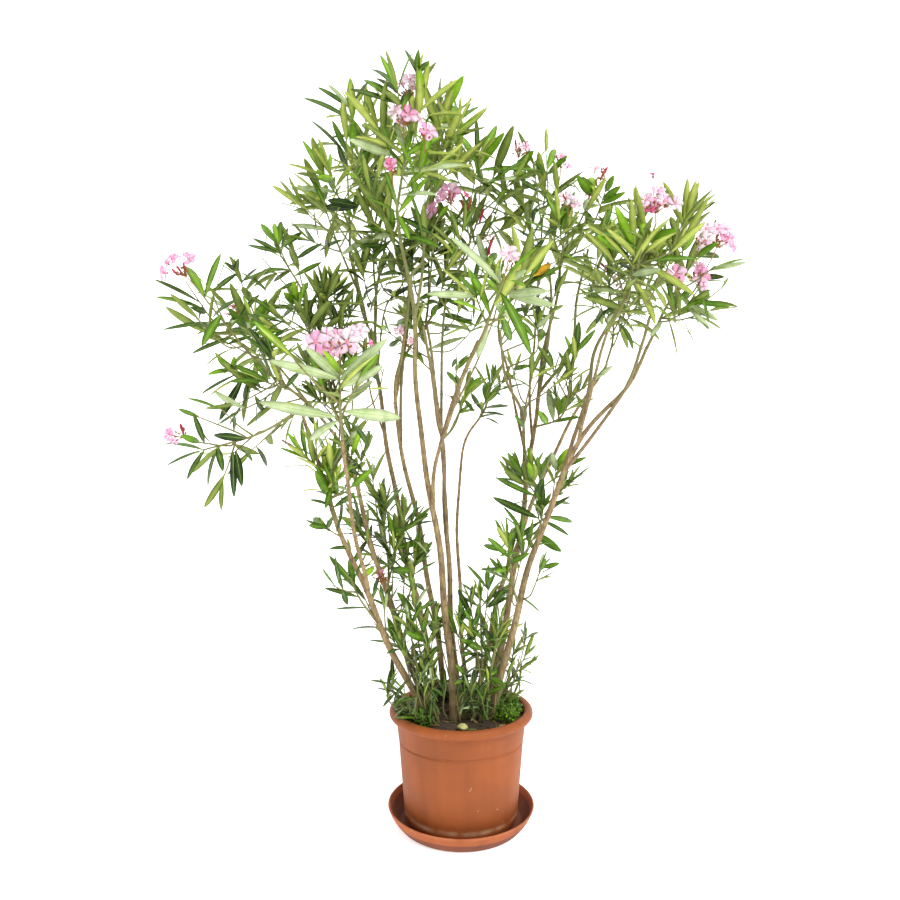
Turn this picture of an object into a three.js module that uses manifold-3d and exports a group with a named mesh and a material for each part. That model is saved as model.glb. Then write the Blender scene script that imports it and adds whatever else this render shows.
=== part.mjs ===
import * as THREE from 'three';
import { mergeVertices } from 'three/addons/utils/BufferGeometryUtils.js';
import Module from 'manifold-3d';

// Potted oleander, about 1.8 m tall: many bare stems that rise from one pot and open into a loose crown.
// Millimetres, +Z up. The origin is the middle of the saucer's flat underside.
// The plant is seen from -Y, with +X to the right.

// Driving dimensions
const GAP = 0.3; // clearance between two pieces that touch
const ROUND_SIDES = 24; // facets round the pot and the saucer

const SAUCER = {
  footRadius: 146,
  waistRadius: 169, // outer radius at half the height
  rimRadius: 179,
  height: 46,
  thickness: 4,
  wall: 3.5,
  chamfer: [6, 3], // out and up from the foot
  bead: 1.5, // rounding of the rim
  fillet: [6, 1.5], // out and up from the inside floor
};
const POT = {
  footRadius: 124,
  wallRadiusLow: 138, // outer radius of the wall at wallLow
  wallLow: 24,
  wallRise: 0.081, // growth of the wall's radius per millimetre of height
  wall: 4,
  floor: 5,
  footRound: [9, 4], // out and up from the foot
  groove: { height: 207, depth: 2, halfWidth: 2, lip: 1 },
  collarDrop: 14, // from the middle of the roll down to the end of the collar
  rollRadius: 11,
  rollCentreRadius: 165,
  rollHeight: 270,
  rollTurns: [-90, -36, 18, 72, 126, 180], // degrees round the roll, one for each of its corners
};
const SOIL = { top: 262, flatRadius: 142, edgeDrop: 4, slack: 0.2, footInset: 1 };
const PEBBLE = { place: [2, -112], size: [13, 10, 8], sides: 8 };

const LIMB_SIDES = { stem: 6, bough: 5 };
const LIMB_STEP = 160; // length of one facet along a limb
const LEAST_LIMB_STEPS = 3;
const BURIED = 8; // how far below the soil's top a stem starts, before its foot is cut flat
const ROOT_FLARE = { widening: 0.35, height: 28 };
const TWIG_SIDES = 3;
const TWIG_RADIUS = { leading: 6, side: 4 };
// Side shoots fork from a share of the leading one, lean by up to `spread` degrees, are lifted a little
// and grow to a share of the mass's reach.
const SIDE_SHOOT = { fork: [0.05, 0.55], spread: 72, leanShare: [0.6, 1], lift: 0.2, reachShare: [0.6, 0.8] };
// Whorls of leaves down a shoot. The leaves of one whorl are staggered so that their roots lie clear.
const WHORL = { leaves: 3, spacing: 48, stagger: 9, first: 8, lastShare: 0.15, turnJitter: 0.2 };
// Degrees between a leaf and its shoot
const WHORL_ANGLE = { tip: 28, underFlowers: 44, step: 22, last: 86, jitter: 8 };
// Shares of the leaf's length
const LEAF = { width: 0.24, keel: 0.03, belly: 0.44, growth: [0.85, 1.1] };
// Degrees of lean and radians of turn between two tries of one leaf
const LEAF_TRIES = { count: 5, lean: 8, turn: 0.45 };
// A piece is tested a little larger than it is. Its neck is left out where it crosses its own mass.
const SKIP = { room: 1.05, neck: 0.12 };
const FLOWER = { radius: 17, depth: 58, petals: 5, growth: [0.9, 1.15] };
// Flowers spread over a cap at the tip of the leading shoot, with the first whorl of leaves below them.
const TRUSS = { spread: 74, firstShare: 0.3, first: 4, stagger: 5, standoff: 30 };
const GOLDEN_ANGLE = Math.PI * (3 - Math.sqrt(5));

// The limbs. Each runs through its points, from the soil or from a place on an earlier limb
// (0 at its foot, 1 at its tip), and tapers between the two radii.
const LIMBS = [
  {
    name: 'left_outer_stem',
    soil: [-80, -32],
    through: [[-185, -90, 490], [-290, -140, 765], [-355, -190, 1000]],
    radii: [12, 4.5],
  },
  {
    name: 'left_inner_stem',
    soil: [-75, 2],
    through: [[-180, 10, 540], [-285, 20, 905]],
    radii: [12.5, 6],
  },
  {
    name: 'back_left_stem',
    soil: [-50, 80],
    through: [[-155, 150, 690], [-245, 190, 1230]],
    radii: [12, 6],
  },
  {
    name: 'back_centre_stem',
    soil: [-35, 112],
    through: [[-95, 118, 635], [-170, 100, 1015], [-145, 60, 1165], [-130, 30, 1325]],
    radii: [11, 4.5],
  },
  {
    name: 'centre_stem',
    soil: [-15, -40],
    through: [[-50, -60, 650], [-100, -90, 980], [-110, -110, 1210], [-145, -180, 1440]],
    radii: [13, 4.5],
  },
  {
    name: 'middle_stem',
    soil: [-8, 36],
    through: [[-32, 50, 630], [-50, 75, 960], [-90, 120, 1250]],
    radii: [11, 4.5],
  },
  {
    name: 'thin_stem',
    soil: [18, 82],
    through: [[-5, 150, 615], [5, 200, 895], [65, 205, 1015]],
    radii: [8, 4],
  },
  {
    name: 'right_outer_stem',
    soil: [75, -8],
    through: [[165, -50, 635], [275, -100, 930], [385, -130, 1065], [450, -110, 1190]],
    radii: [13, 4.5],
  },
  {
    name: 'right_thick_stem',
    soil: [70, 66],
    through: [[140, 115, 580], [190, 145, 915], [225, 130, 1185], [260, 110, 1340]],
    radii: [13, 4.5],
  },
  {
    name: 'right_rear_stem',
    soil: [42, 118],
    through: [[125, 195, 565], [280, 270, 925], [420, 290, 1150]],
    radii: [10, 5],
  },
  {
    name: 'front_branch',
    on: 'left_outer_stem',
    at: 0.42,
    through: [[-235, -270, 790], [-230, -415, 930]],
    radii: [6.5, 4.5],
  },
  {
    name: 'left_middle_bough',
    on: 'left_inner_stem',
    at: 1,
    through: [[-365, -10, 1015], [-465, -50, 1095]],
    radii: [5.5, 4],
  },
  {
    name: 'left_high_bough',
    on: 'left_inner_stem',
    at: 0.9,
    through: [[-325, 60, 1075], [-390, 80, 1280]],
    radii: [5, 4],
  },
  {
    name: 'upper_left_bough',
    on: 'back_left_stem',
    at: 1,
    through: [[-275, 175, 1325], [-295, 150, 1430]],
    radii: [5.5, 4],
  },
  {
    name: 'upper_back_bough',
    on: 'back_left_stem',
    at: 0.95,
    through: [[-235, 240, 1340], [-245, 280, 1480]],
    radii: [5, 4],
  },
  {
    name: 'crossing_bough',
    on: 'back_centre_stem',
    at: 0.72,
    through: [[-150, 150, 1150], [-60, 190, 1300]],
    radii: [5.5, 4],
  },
  {
    name: 'centre_right_bough',
    on: 'centre_stem',
    at: 0.8,
    through: [[-90, -60, 1340], [-95, -20, 1475]],
    radii: [5, 4],
  },
  {
    name: 'near_branch',
    on: 'centre_stem',
    at: 0.43,
    through: [[-55, -130, 900], [-5, -230, 1045], [48, -315, 1165]],
    radii: [6.5, 4],
  },
  {
    name: 'right_bright_bough',
    on: 'right_outer_stem',
    at: 0.68,
    through: [[295, -155, 1070], [315, -205, 1165]],
    radii: [6, 4],
  },
  {
    name: 'right_back_bough',
    on: 'right_thick_stem',
    at: 0.63,
    through: [[190, 205, 1045], [210, 250, 1200]],
    radii: [5.5, 4],
  },
  {
    name: 'right_inner_bough',
    on: 'right_thick_stem',
    at: 0.55,
    through: [[140, 110, 1050], [100, 80, 1190]],
    radii: [5.5, 4],
  },
];

// The masses of foliage. Each grows from a place on a limb, or from the soil, through its hub to the tip
// of its leading shoot, and keeps within its reach of the line from the hub to that tip.
const MASSES = [
  {
    name: 'far_left_leaves',
    on: 'left_middle_bough',
    hub: [-530, -60, 1170],
    lead: [-625, -85, 1295],
    reach: 150,
    shoots: 3,
    whorls: 3,
    leaf: 135,
    flowers: 4,
  },
  {
    name: 'left_middle_leaves',
    on: 'left_middle_bough',
    at: 0.55,
    hub: [-480, 30, 1150],
    lead: [-560, 80, 1250],
    reach: 170,
    shoots: 3,
    whorls: 3,
    leaf: 130,
    flowers: 2,
  },
  {
    name: 'left_inner_leaves',
    on: 'left_middle_bough',
    at: 0.3,
    hub: [-385, -50, 1040],
    lead: [-460, -110, 1070],
    reach: 165,
    shoots: 3,
    whorls: 2,
    leaf: 130,
    flowers: 0,
  },
  {
    name: 'left_upper_leaves',
    on: 'left_high_bough',
    hub: [-420, 100, 1340],
    lead: [-475, 130, 1425],
    reach: 130,
    shoots: 3,
    whorls: 2,
    leaf: 105,
    flowers: 0,
  },
  {
    name: 'left_shoulder_leaves',
    on: 'left_high_bough',
    at: 0.45,
    hub: [-360, 10, 1155],
    lead: [-375, -30, 1230],
    reach: 165,
    shoots: 3,
    whorls: 2,
    leaf: 130,
    flowers: 0,
  },
  {
    name: 'low_left_leaves',
    on: 'left_outer_stem',
    hub: [-445, -205, 945],
    lead: [-560, -220, 910],
    reach: 150,
    shoots: 3,
    whorls: 2,
    leaf: 120,
    flowers: 2,
  },
  {
    name: 'left_tuft_leaves',
    on: 'left_outer_stem',
    at: 0.66,
    hub: [-295, -170, 815],
    lead: [-285, -190, 890],
    reach: 125,
    shoots: 2,
    whorls: 2,
    leaf: 110,
    flowers: 0,
  },
  {
    name: 'left_side_leaves',
    on: 'left_outer_stem',
    at: 0.33,
    hub: [-235, -110, 565],
    lead: [-255, -130, 620],
    reach: 110,
    shoots: 2,
    whorls: 2,
    leaf: 100,
    flowers: 0,
  },
  {
    name: 'left_low_leaves',
    on: 'left_inner_stem',
    at: 0.45,
    hub: [-185, 60, 630],
    lead: [-205, 70, 780],
    reach: 140,
    shoots: 3,
    whorls: 2,
    leaf: 110,
    flowers: 0,
  },
  {
    name: 'front_leaves',
    on: 'front_branch',
    hub: [-230, -440, 975],
    lead: [-230, -460, 1070],
    reach: 170,
    shoots: 2,
    whorls: 3,
    leaf: 150,
    flowers: 6,
  },
  {
    name: 'upper_left_leaves',
    on: 'upper_left_bough',
    hub: [-295, 145, 1510],
    lead: [-305, 150, 1750],
    reach: 185,
    shoots: 4,
    whorls: 3,
    leaf: 150,
    flowers: 0,
  },
  {
    name: 'upper_left_side_leaves',
    on: 'upper_left_bough',
    at: 0.6,
    hub: [-325, 110, 1460],
    lead: [-355, 80, 1555],
    reach: 165,
    shoots: 3,
    whorls: 2,
    leaf: 135,
    flowers: 0,
  },
  {
    name: 'upper_back_leaves',
    on: 'upper_back_bough',
    hub: [-255, 310, 1590],
    lead: [-240, 340, 1805],
    reach: 190,
    shoots: 3,
    whorls: 3,
    leaf: 150,
    flowers: 2,
  },
  {
    name: 'centre_back_leaves',
    on: 'back_centre_stem',
    hub: [-155, 40, 1385],
    lead: [-190, 80, 1515],
    reach: 180,
    shoots: 3,
    whorls: 2,
    leaf: 155,
    flowers: 0,
  },
  {
    name: 'top_leaves',
    on: 'centre_stem',
    hub: [-135, -200, 1490],
    lead: [-110, -205, 1650],
    reach: 158,
    shoots: 4,
    whorls: 3,
    leaf: 138,
    flowers: 5,
  },
  {
    name: 'centre_crown_leaves',
    on: 'centre_right_bough',
    hub: [-75, -10, 1545],
    lead: [-30, 0, 1700],
    reach: 165,
    shoots: 4,
    whorls: 3,
    leaf: 140,
    flowers: 3,
  },
  {
    name: 'centre_right_leaves',
    on: 'crossing_bough',
    hub: [5, 175, 1420],
    lead: [105, 160, 1685],
    reach: 190,
    shoots: 5,
    whorls: 2,
    leaf: 145,
    flowers: 2,
  },
  {
    name: 'near_leaves',
    on: 'near_branch',
    hub: [55, -330, 1185],
    lead: [75, -340, 1240],
    reach: 175,
    shoots: 3,
    whorls: 3,
    leaf: 150,
    flowers: 2,
  },
  {
    name: 'centre_inner_leaves',
    on: 'middle_stem',
    hub: [-85, 165, 1320],
    lead: [-85, 200, 1485],
    reach: 180,
    shoots: 3,
    whorls: 2,
    leaf: 150,
    flowers: 0,
  },
  {
    name: 'middle_right_leaves',
    on: 'middle_stem',
    at: 0.68,
    hub: [-15, 85, 975],
    lead: [15, 90, 1060],
    reach: 110,
    shoots: 1,
    whorls: 3,
    leaf: 100,
    flowers: 0,
  },
  {
    name: 'middle_far_leaves',
    on: 'thin_stem',
    hub: [75, 210, 1040],
    lead: [90, 215, 1100],
    reach: 115,
    shoots: 2,
    whorls: 2,
    leaf: 100,
    flowers: 0,
  },
  {
    name: 'right_inner_leaves',
    on: 'right_inner_bough',
    hub: [100, 80, 1250],
    lead: [135, 90, 1395],
    reach: 170,
    shoots: 2,
    whorls: 3,
    leaf: 130,
    flowers: 0,
  },
  {
    name: 'right_centre_leaves',
    on: 'right_back_bough',
    hub: [220, 265, 1350],
    lead: [245, 275, 1675],
    reach: 175,
    shoots: 4,
    whorls: 2,
    leaf: 140,
    flowers: 2,
  },
  {
    name: 'right_crown_leaves',
    on: 'right_thick_stem',
    hub: [265, 100, 1400],
    lead: [345, 100, 1575],
    reach: 165,
    shoots: 4,
    whorls: 2,
    leaf: 135,
    flowers: 3,
  },
  {
    name: 'right_rear_leaves',
    on: 'right_rear_stem',
    hub: [445, 305, 1255],
    lead: [430, 330, 1450],
    reach: 175,
    shoots: 3,
    whorls: 2,
    leaf: 140,
    flowers: 2,
  },
  {
    name: 'right_flowering_leaves',
    on: 'right_bright_bough',
    hub: [350, -220, 1235],
    lead: [415, -230, 1395],
    reach: 155,
    shoots: 4,
    whorls: 3,
    leaf: 135,
    flowers: 5,
  },
  {
    name: 'far_right_leaves',
    on: 'right_outer_stem',
    hub: [470, -110, 1235],
    lead: [540, -115, 1355],
    reach: 145,
    shoots: 4,
    whorls: 3,
    leaf: 130,
    flowers: 5,
  },
  {
    name: 'right_lower_leaves',
    on: 'right_thick_stem',
    at: 0.66,
    hub: [260, 60, 1000],
    lead: [280, 50, 1115],
    reach: 135,
    shoots: 3,
    whorls: 2,
    leaf: 110,
    flowers: 0,
  },
  {
    name: 'right_middle_leaves',
    on: 'right_thick_stem',
    at: 0.52,
    hub: [165, 90, 990],
    lead: [185, 60, 1110],
    reach: 135,
    shoots: 2,
    whorls: 2,
    leaf: 115,
    flowers: 0,
  },
  {
    name: 'right_low_leaves',
    on: 'right_thick_stem',
    at: 0.38,
    hub: [205, 70, 720],
    lead: [200, 50, 845],
    reach: 140,
    shoots: 3,
    whorls: 2,
    leaf: 110,
    flowers: 0,
  },
  {
    name: 'right_low_front_leaves',
    on: 'right_outer_stem',
    at: 0.28,
    hub: [120, -55, 600],
    lead: [110, -60, 695],
    reach: 125,
    shoots: 2,
    whorls: 2,
    leaf: 105,
    flowers: 0,
  },
  {
    name: 'base_left_leaves',
    soil: [-108, -62],
    hub: [-105, -75, 385],
    lead: [-125, -80, 505],
    reach: 120,
    shoots: 3,
    whorls: 2,
    leaf: 100,
    flowers: 0,
  },
  {
    name: 'base_centre_leaves',
    soil: [45, -45],
    hub: [50, -45, 385],
    lead: [45, -50, 550],
    reach: 130,
    shoots: 3,
    whorls: 3,
    leaf: 105,
    flowers: 0,
  },
  {
    name: 'base_right_leaves',
    soil: [112, 50],
    hub: [120, 55, 315],
    lead: [135, 50, 405],
    reach: 115,
    shoots: 3,
    whorls: 2,
    leaf: 90,
    flowers: 0,
  },
];

const FINISH = {
  terracotta: { color: '#b5613a', roughness: 0.6, metalness: 0 },
  saucer: { color: '#9a5034', roughness: 0.6, metalness: 0 },
  soil: { color: '#4a3a2b', roughness: 1, metalness: 0 },
  pebble: { color: '#a8a377', roughness: 0.9, metalness: 0 },
  bark: { color: '#7d6749', roughness: 0.85, metalness: 0 },
  foliage: { color: '#6f9440', roughness: 0.6, metalness: 0 },
};

// Solids
const wasm = await Module();
wasm.setup();

// Turns a closed geometry into a solid that can be joined and cut.
function solidOf(geometry) {
  const bare = geometry.clone();
  bare.deleteAttribute('normal');
  bare.deleteAttribute('uv');
  const merged = mergeVertices(bare);
  return new wasm.Manifold(new wasm.Mesh({
    numProp: 3,
    vertProperties: merged.attributes.position.array,
    triVerts: new Uint32Array(merged.index.array),
  }));
}

function geometryOf(solid) {
  const mesh = solid.getMesh();
  const geometry = new THREE.BufferGeometry();
  geometry.setAttribute('position', new THREE.BufferAttribute(mesh.vertProperties, 3));
  geometry.setIndex(new THREE.BufferAttribute(mesh.triVerts, 1));
  geometry.computeVertexNormals();
  return geometry;
}

function largestPiece(solid) {
  const pieces = solid.decompose();
  return pieces.reduce((best, piece) => (piece.volume() > best.volume() ? piece : best));
}

function joined(solids) {
  return solids.reduce((whole, solid) => whole.add(solid));
}

function boxesMeet(one, other) {
  return [0, 1, 2].every((axis) => one.min[axis] <= other.max[axis] && other.min[axis] <= one.max[axis]);
}

function touchesAny(solid, others) {
  const box = solid.boundingBox();
  return others.some((other) => boxesMeet(box, other.boundingBox()) && !solid.intersect(other).isEmpty());
}

// Chance and directions
// The same seed always deals the same numbers.
function seededDice(seed) {
  const range = 4294967296;
  let state = (seed * 2654435761) % range;
  return (low, high) => {
    state = (state * 1664525 + 1013904223) % range;
    return low + ((high - low) * state) / range;
  };
}

// A vector square to the given one.
function squareTo(direction) {
  const helper = Math.abs(direction.z) < 0.9 ? new THREE.Vector3(0, 0, 1) : new THREE.Vector3(1, 0, 0);
  return helper.cross(direction).normalize();
}

// The axis leant over by `lean`, towards the side that `turn` picks.
function leant(axis, lean, turn) {
  const side = squareTo(axis).applyAxisAngle(axis, turn);
  return axis.clone().multiplyScalar(Math.cos(lean)).addScaledVector(side, Math.sin(lean));
}

// Tapering round pieces
function smoothPath(points) {
  return new THREE.CatmullRomCurve3(points, false, 'catmullrom', 0.5);
}

// A closed tube along a curve: an upright cylinder whose rings are carried along it.
// radiusAt gives the radius at a share of the length.
function tapered(curve, radiusAt, { sides, steps, grow = 0, centreAt = (share) => curve.getPointAt(share) }) {
  const tube = new THREE.CylinderGeometry(1, 1, 1, sides, steps);
  const frames = curve.computeFrenetFrames(steps, false);
  const corners = tube.attributes.position;
  const widened = grow / Math.cos(Math.PI / sides);
  for (let i = 0; i < corners.count; i += 1) {
    const share = corners.getY(i) + 0.5;
    const ring = Math.round(share * steps);
    const centre = centreAt(ring / steps);
    const radius = radiusAt(share) + widened;
    const corner = centre.clone();
    corner.addScaledVector(frames.normals[ring], corners.getX(i) * radius);
    corner.addScaledVector(frames.binormals[ring], -corners.getZ(i) * radius);
    if (ring === steps) corner.addScaledVector(frames.tangents[ring], grow);
    corners.setXYZ(i, corner.x, corner.y, corner.z);
  }
  return solidOf(tube);
}

// Pot, saucer and soil
function turned(profile) {
  const points = profile.map(([radius, height]) => new THREE.Vector2(radius, height));
  return new THREE.LatheGeometry(points, ROUND_SIDES).rotateX(Math.PI / 2);
}

function potRadius(height) {
  return POT.wallRadiusLow + (height - POT.wallLow) * POT.wallRise;
}

function saucerGeometry() {
  const { footRadius, waistRadius, rimRadius, height, thickness, wall, chamfer, bead, fillet } = SAUCER;
  const innerFoot = footRadius - wall;
  return turned([
    [0, 0],
    [footRadius, 0],
    [footRadius + chamfer[0], chamfer[1]],
    [waistRadius, height / 2],
    [rimRadius, height - bead],
    [rimRadius - bead, height],
    [rimRadius - wall, height],
    [waistRadius - wall, height / 2],
    [innerFoot + fillet[0], thickness + fillet[1]],
    [innerFoot, thickness],
    [0, thickness],
  ]);
}

function potGeometry() {
  const foot = SAUCER.thickness + GAP;
  const { footRadius, wall, floor, footRound, wallLow, groove, collarDrop } = POT;
  const { rollRadius, rollCentreRadius, rollHeight } = POT;
  const grooveBottom = potRadius(groove.height) - groove.depth;
  const grooveEdge = groove.halfWidth + groove.depth;
  const outside = [
    [0, foot],
    [footRadius, foot],
    [footRadius + footRound[0], foot + footRound[1]],
    [potRadius(wallLow), wallLow],
    [potRadius(groove.height - grooveEdge), groove.height - grooveEdge],
    [grooveBottom, groove.height - groove.halfWidth],
    [grooveBottom, groove.height + groove.halfWidth],
    [potRadius(groove.height) + groove.lip, groove.height + grooveEdge],
    [potRadius(rollHeight) + groove.lip, rollHeight - collarDrop],
  ];
  const roll = POT.rollTurns.map((turn) => {
    const angle = THREE.MathUtils.degToRad(turn);
    return [rollCentreRadius + rollRadius * Math.cos(angle), rollHeight + rollRadius * Math.sin(angle)];
  });
  const inside = [
    [potRadius(rollHeight) - wall, rollHeight - rollRadius],
    [potRadius(wallLow) - wall, wallLow],
    [footRadius, foot + floor],
    [0, foot + floor],
  ];
  return turned([...outside, ...roll, ...inside]);
}

function soilGeometry() {
  const bottom = SAUCER.thickness + GAP + POT.floor + GAP;
  const edge = SOIL.top - SOIL.edgeDrop;
  const inset = POT.wall + GAP + SOIL.slack;
  return turned([
    [0, bottom],
    [POT.footRadius - SOIL.footInset, bottom],
    [potRadius(POT.wallLow) - inset, POT.wallLow + SOIL.footInset],
    [potRadius(edge) - inset, edge],
    [SOIL.flatRadius, SOIL.top],
    [0, SOIL.top],
  ]);
}

function pebbleGeometry() {
  const [x, y] = PEBBLE.place;
  const stone = new THREE.SphereGeometry(1, PEBBLE.sides, PEBBLE.sides / 2).rotateX(Math.PI / 2);
  stone.scale(...PEBBLE.size);
  return stone.translate(x, y, SOIL.top + GAP + PEBBLE.size[2]);
}

// The soil with the gap over it, which cuts the foot of each stem flat.
function soilRoom() {
  return solidOf(soilGeometry().translate(0, 0, GAP));
}

// Limbs
function startOf(row, limbs) {
  if (row.soil) return new THREE.Vector3(row.soil[0], row.soil[1], SOIL.top - BURIED);
  return limbs.get(row.on).curve.getPointAt(row.at ?? 1);
}

// One tapering limb, with the room round it that other pieces stay out of.
function growLimb(row, limbs, ground) {
  const curve = smoothPath([startOf(row, limbs), ...row.through.map((point) => new THREE.Vector3(...point))]);
  const length = curve.getLength();
  const [thick, thin] = row.radii;
  const flare = row.soil ? ROOT_FLARE.widening : 0;
  const radiusAt = (share) => {
    const taper = thin + (thick - thin) * (1 - share);
    return taper + thick * flare * Math.exp((-share * length) / ROOT_FLARE.height);
  };
  const form = {
    sides: row.soil ? LIMB_SIDES.stem : LIMB_SIDES.bough,
    steps: Math.max(LEAST_LIMB_STEPS, Math.round(length / LIMB_STEP)),
  };
  const whole = tapered(curve, radiusAt, form);
  const room = tapered(curve, radiusAt, { ...form, grow: GAP });
  const cutters = [ground, ...[...limbs.values()].map((limb) => limb.room)];
  const solid = largestPiece(cutters.reduce((rest, cutter) => rest.subtract(cutter), whole));
  return { name: row.name, curve, solid, room };
}

// Leaves, flowers and shoots
// A leaf is a flat blade of four corners over a keel that is deepest at its root.
function leafGeometry(length, width) {
  const half = width / 2;
  const belly = length * LEAF.belly;
  const keel = length * LEAF.keel;
  const corners = [0, 0, 0, half, belly, 0, 0, length, 0, -half, belly, 0, 0, 0, -keel];
  const faces = [0, 1, 3, 1, 2, 3, 1, 0, 4, 2, 1, 4, 3, 2, 4, 0, 3, 4];
  const blade = new THREE.BufferGeometry();
  blade.setAttribute('position', new THREE.Float32BufferAttribute(corners, 3));
  return blade.setIndex(faces);
}

// Puts a geometry that grows along its own +Y at a place, with its +Z turned towards `upper`.
function aimed(geometry, place, direction, upper) {
  const across = new THREE.Vector3().crossVectors(direction, upper).normalize();
  const top = new THREE.Vector3().crossVectors(across, direction);
  const matrix = new THREE.Matrix4().makeBasis(across, direction, top).setPosition(place);
  return geometry.applyMatrix4(matrix);
}

function leafSolid(place, direction, upper, length, width) {
  return solidOf(aimed(leafGeometry(length, width), place, direction, upper));
}

// A flower with its stalk is a five-sided funnel whose point is sunk in the shoot.
function flowerSolid(place, direction, size) {
  const funnel = new THREE.ConeGeometry(FLOWER.radius * size, FLOWER.depth * size, FLOWER.petals);
  funnel.rotateX(Math.PI).translate(0, (FLOWER.depth * size) / 2, 0);
  return solidOf(aimed(funnel, place, direction, squareTo(direction)));
}

function twigSolid(line) {
  return tapered(line, () => TWIG_RADIUS.side, { sides: TWIG_SIDES, steps: 1 });
}

// The stem of a mass with its leading shoot: one twig bent at the hub.
function stemSolid(start, leading) {
  const path = smoothPath([start, leading.v1, leading.v2]);
  const centreAt = (share) => path.getPoint(share);
  return tapered(path, () => TWIG_RADIUS.leading, { sides: TWIG_SIDES, steps: 2, centreAt });
}

// The straight shoots of a mass: the leading one, then side shoots that fork from it by the golden angle.
function shootLines(row, dice) {
  const hub = new THREE.Vector3(...row.hub);
  const tip = new THREE.Vector3(...row.lead);
  const axis = tip.clone().sub(hub).normalize();
  const spread = THREE.MathUtils.degToRad(SIDE_SHOOT.spread);
  const firstTurn = dice(0, Math.PI * 2);
  const lines = [new THREE.LineCurve3(hub, tip)];
  for (let k = 1; k < row.shoots; k += 1) {
    const fork = hub.clone().lerp(tip, dice(...SIDE_SHOOT.fork));
    const heading = leant(axis, spread * dice(...SIDE_SHOOT.leanShare), firstTurn + k * GOLDEN_ANGLE);
    heading.z += SIDE_SHOOT.lift;
    const length = row.reach * dice(...SIDE_SHOOT.reachShare);
    lines.push(new THREE.LineCurve3(fork, fork.clone().addScaledVector(heading.normalize(), length)));
  }
  return lines;
}

// The leaves of a shoot, in whorls from its tip down, each whorl turned by half a step from the last.
function whorlLeaves(line, row, flowering, dice) {
  const length = line.getLength();
  const axis = line.getTangentAt(1);
  const firstTurn = dice(0, Math.PI * 2);
  const { jitter } = WHORL_ANGLE;
  const leaves = [];
  for (let whorl = 0; whorl < row.whorls; whorl += 1) {
    const below = (flowering ? TRUSS.standoff : WHORL.first) + whorl * WHORL.spacing;
    const leastAngle = (flowering ? WHORL_ANGLE.underFlowers : WHORL_ANGLE.tip) + whorl * WHORL_ANGLE.step;
    for (let k = 0; k < WHORL.leaves; k += 1) {
      const share = 1 - (below + k * WHORL.stagger) / length;
      if (share < WHORL.lastShare) return leaves;
      const step = ((k + whorl / 2) * Math.PI * 2) / WHORL.leaves;
      leaves.push({
        place: line.getPointAt(share),
        axis,
        turn: firstTurn + step + dice(-WHORL.turnJitter, WHORL.turnJitter),
        angle: Math.min(leastAngle + dice(-jitter, jitter), WHORL_ANGLE.last),
        length: row.leaf * dice(...LEAF.growth),
      });
    }
  }
  return leaves;
}

// The part of a line that lies beyond its neck.
function beyondNeck(line) {
  return new THREE.LineCurve3(line.getPointAt(SKIP.neck), line.getPointAt(1));
}

// Whether a point lies within the mass's reach of the line from its hub to its leading tip.
function inSpace(row, point) {
  const line = new THREE.Line3(new THREE.Vector3(...row.hub), new THREE.Vector3(...row.lead));
  return line.closestPointToPoint(point, true, new THREE.Vector3()).distanceTo(point) < row.reach;
}

// Whether a leaf keeps to the mass's space and clear of the other pieces, and of its own mass past its neck.
function leafFits(row, place, direction, axis, length, others, pieces) {
  const width = length * LEAF.width;
  const tip = place.clone().addScaledVector(direction, length);
  if (!inSpace(row, tip)) return false;
  const roomy = leafSolid(place, direction, axis, length * SKIP.room, width * SKIP.room);
  if (touchesAny(roomy, others)) return false;
  const neck = place.clone().addScaledVector(direction, length * SKIP.neck);
  return !touchesAny(leafSolid(neck, direction, axis, length * (1 - SKIP.neck), width), pieces);
}

// A leaf's solid. One that doesn't fit is turned on and leant out a few times, and then skipped.
function fittingLeaf(row, { place, axis, turn, angle, length }, others, pieces) {
  for (let attempt = 0; attempt < LEAF_TRIES.count; attempt += 1) {
    const lean = THREE.MathUtils.degToRad(angle + attempt * LEAF_TRIES.lean);
    const direction = leant(axis, lean, turn + attempt * LEAF_TRIES.turn);
    if (leafFits(row, place, direction, axis, length, others, pieces)) {
      return [leafSolid(place, direction, axis, length, length * LEAF.width)];
    }
  }
  return [];
}

// The flowers at the tip of a leading shoot, spread over a cap.
function truss(row, line, dice) {
  const axis = line.getTangentAt(1);
  const spread = THREE.MathUtils.degToRad(TRUSS.spread);
  const flowers = [];
  for (let k = 0; k < row.flowers; k += 1) {
    const lean = spread * Math.sqrt((k + TRUSS.firstShare) / row.flowers);
    const place = line.getPointAt(1 - (TRUSS.first + k * TRUSS.stagger) / line.getLength());
    flowers.push(flowerSolid(place, leant(axis, lean, k * GOLDEN_ANGLE), dice(...FLOWER.growth)));
  }
  return flowers;
}

// One mass: twigs, leaves and flowers fused together. What would leave its space, or touch a limb or
// another mass, is skipped.
function growMass(row, seed, limbs, finished, ground) {
  const dice = seededDice(seed);
  const rooms = [ground, ...[...limbs.values()].map((limb) => limb.room)];
  const others = [...rooms, ...finished];
  const [leading, ...sides] = shootLines(row, dice);
  const shoots = [leading];
  const pieces = [stemSolid(startOf(row, limbs), leading)];
  sides.forEach((line) => {
    const twig = twigSolid(line);
    if (touchesAny(twig, others) || touchesAny(twigSolid(beyondNeck(line)), pieces)) return;
    shoots.push(line);
    pieces.push(twig);
  });
  pieces.push(...truss(row, leading, dice));
  shoots.forEach((line) => {
    const flowering = line === leading && row.flowers > 0;
    whorlLeaves(line, row, flowering, dice).forEach((leaf) => {
      pieces.push(...fittingLeaf(row, leaf, others, pieces));
    });
  });
  return largestPiece(rooms.reduce((rest, room) => rest.subtract(room), joined(pieces)));
}

// Assembly
function named(name, geometry, finish) {
  const mesh = new THREE.Mesh(geometry, new THREE.MeshStandardMaterial(FINISH[finish]));
  mesh.name = name;
  return mesh;
}

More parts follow.
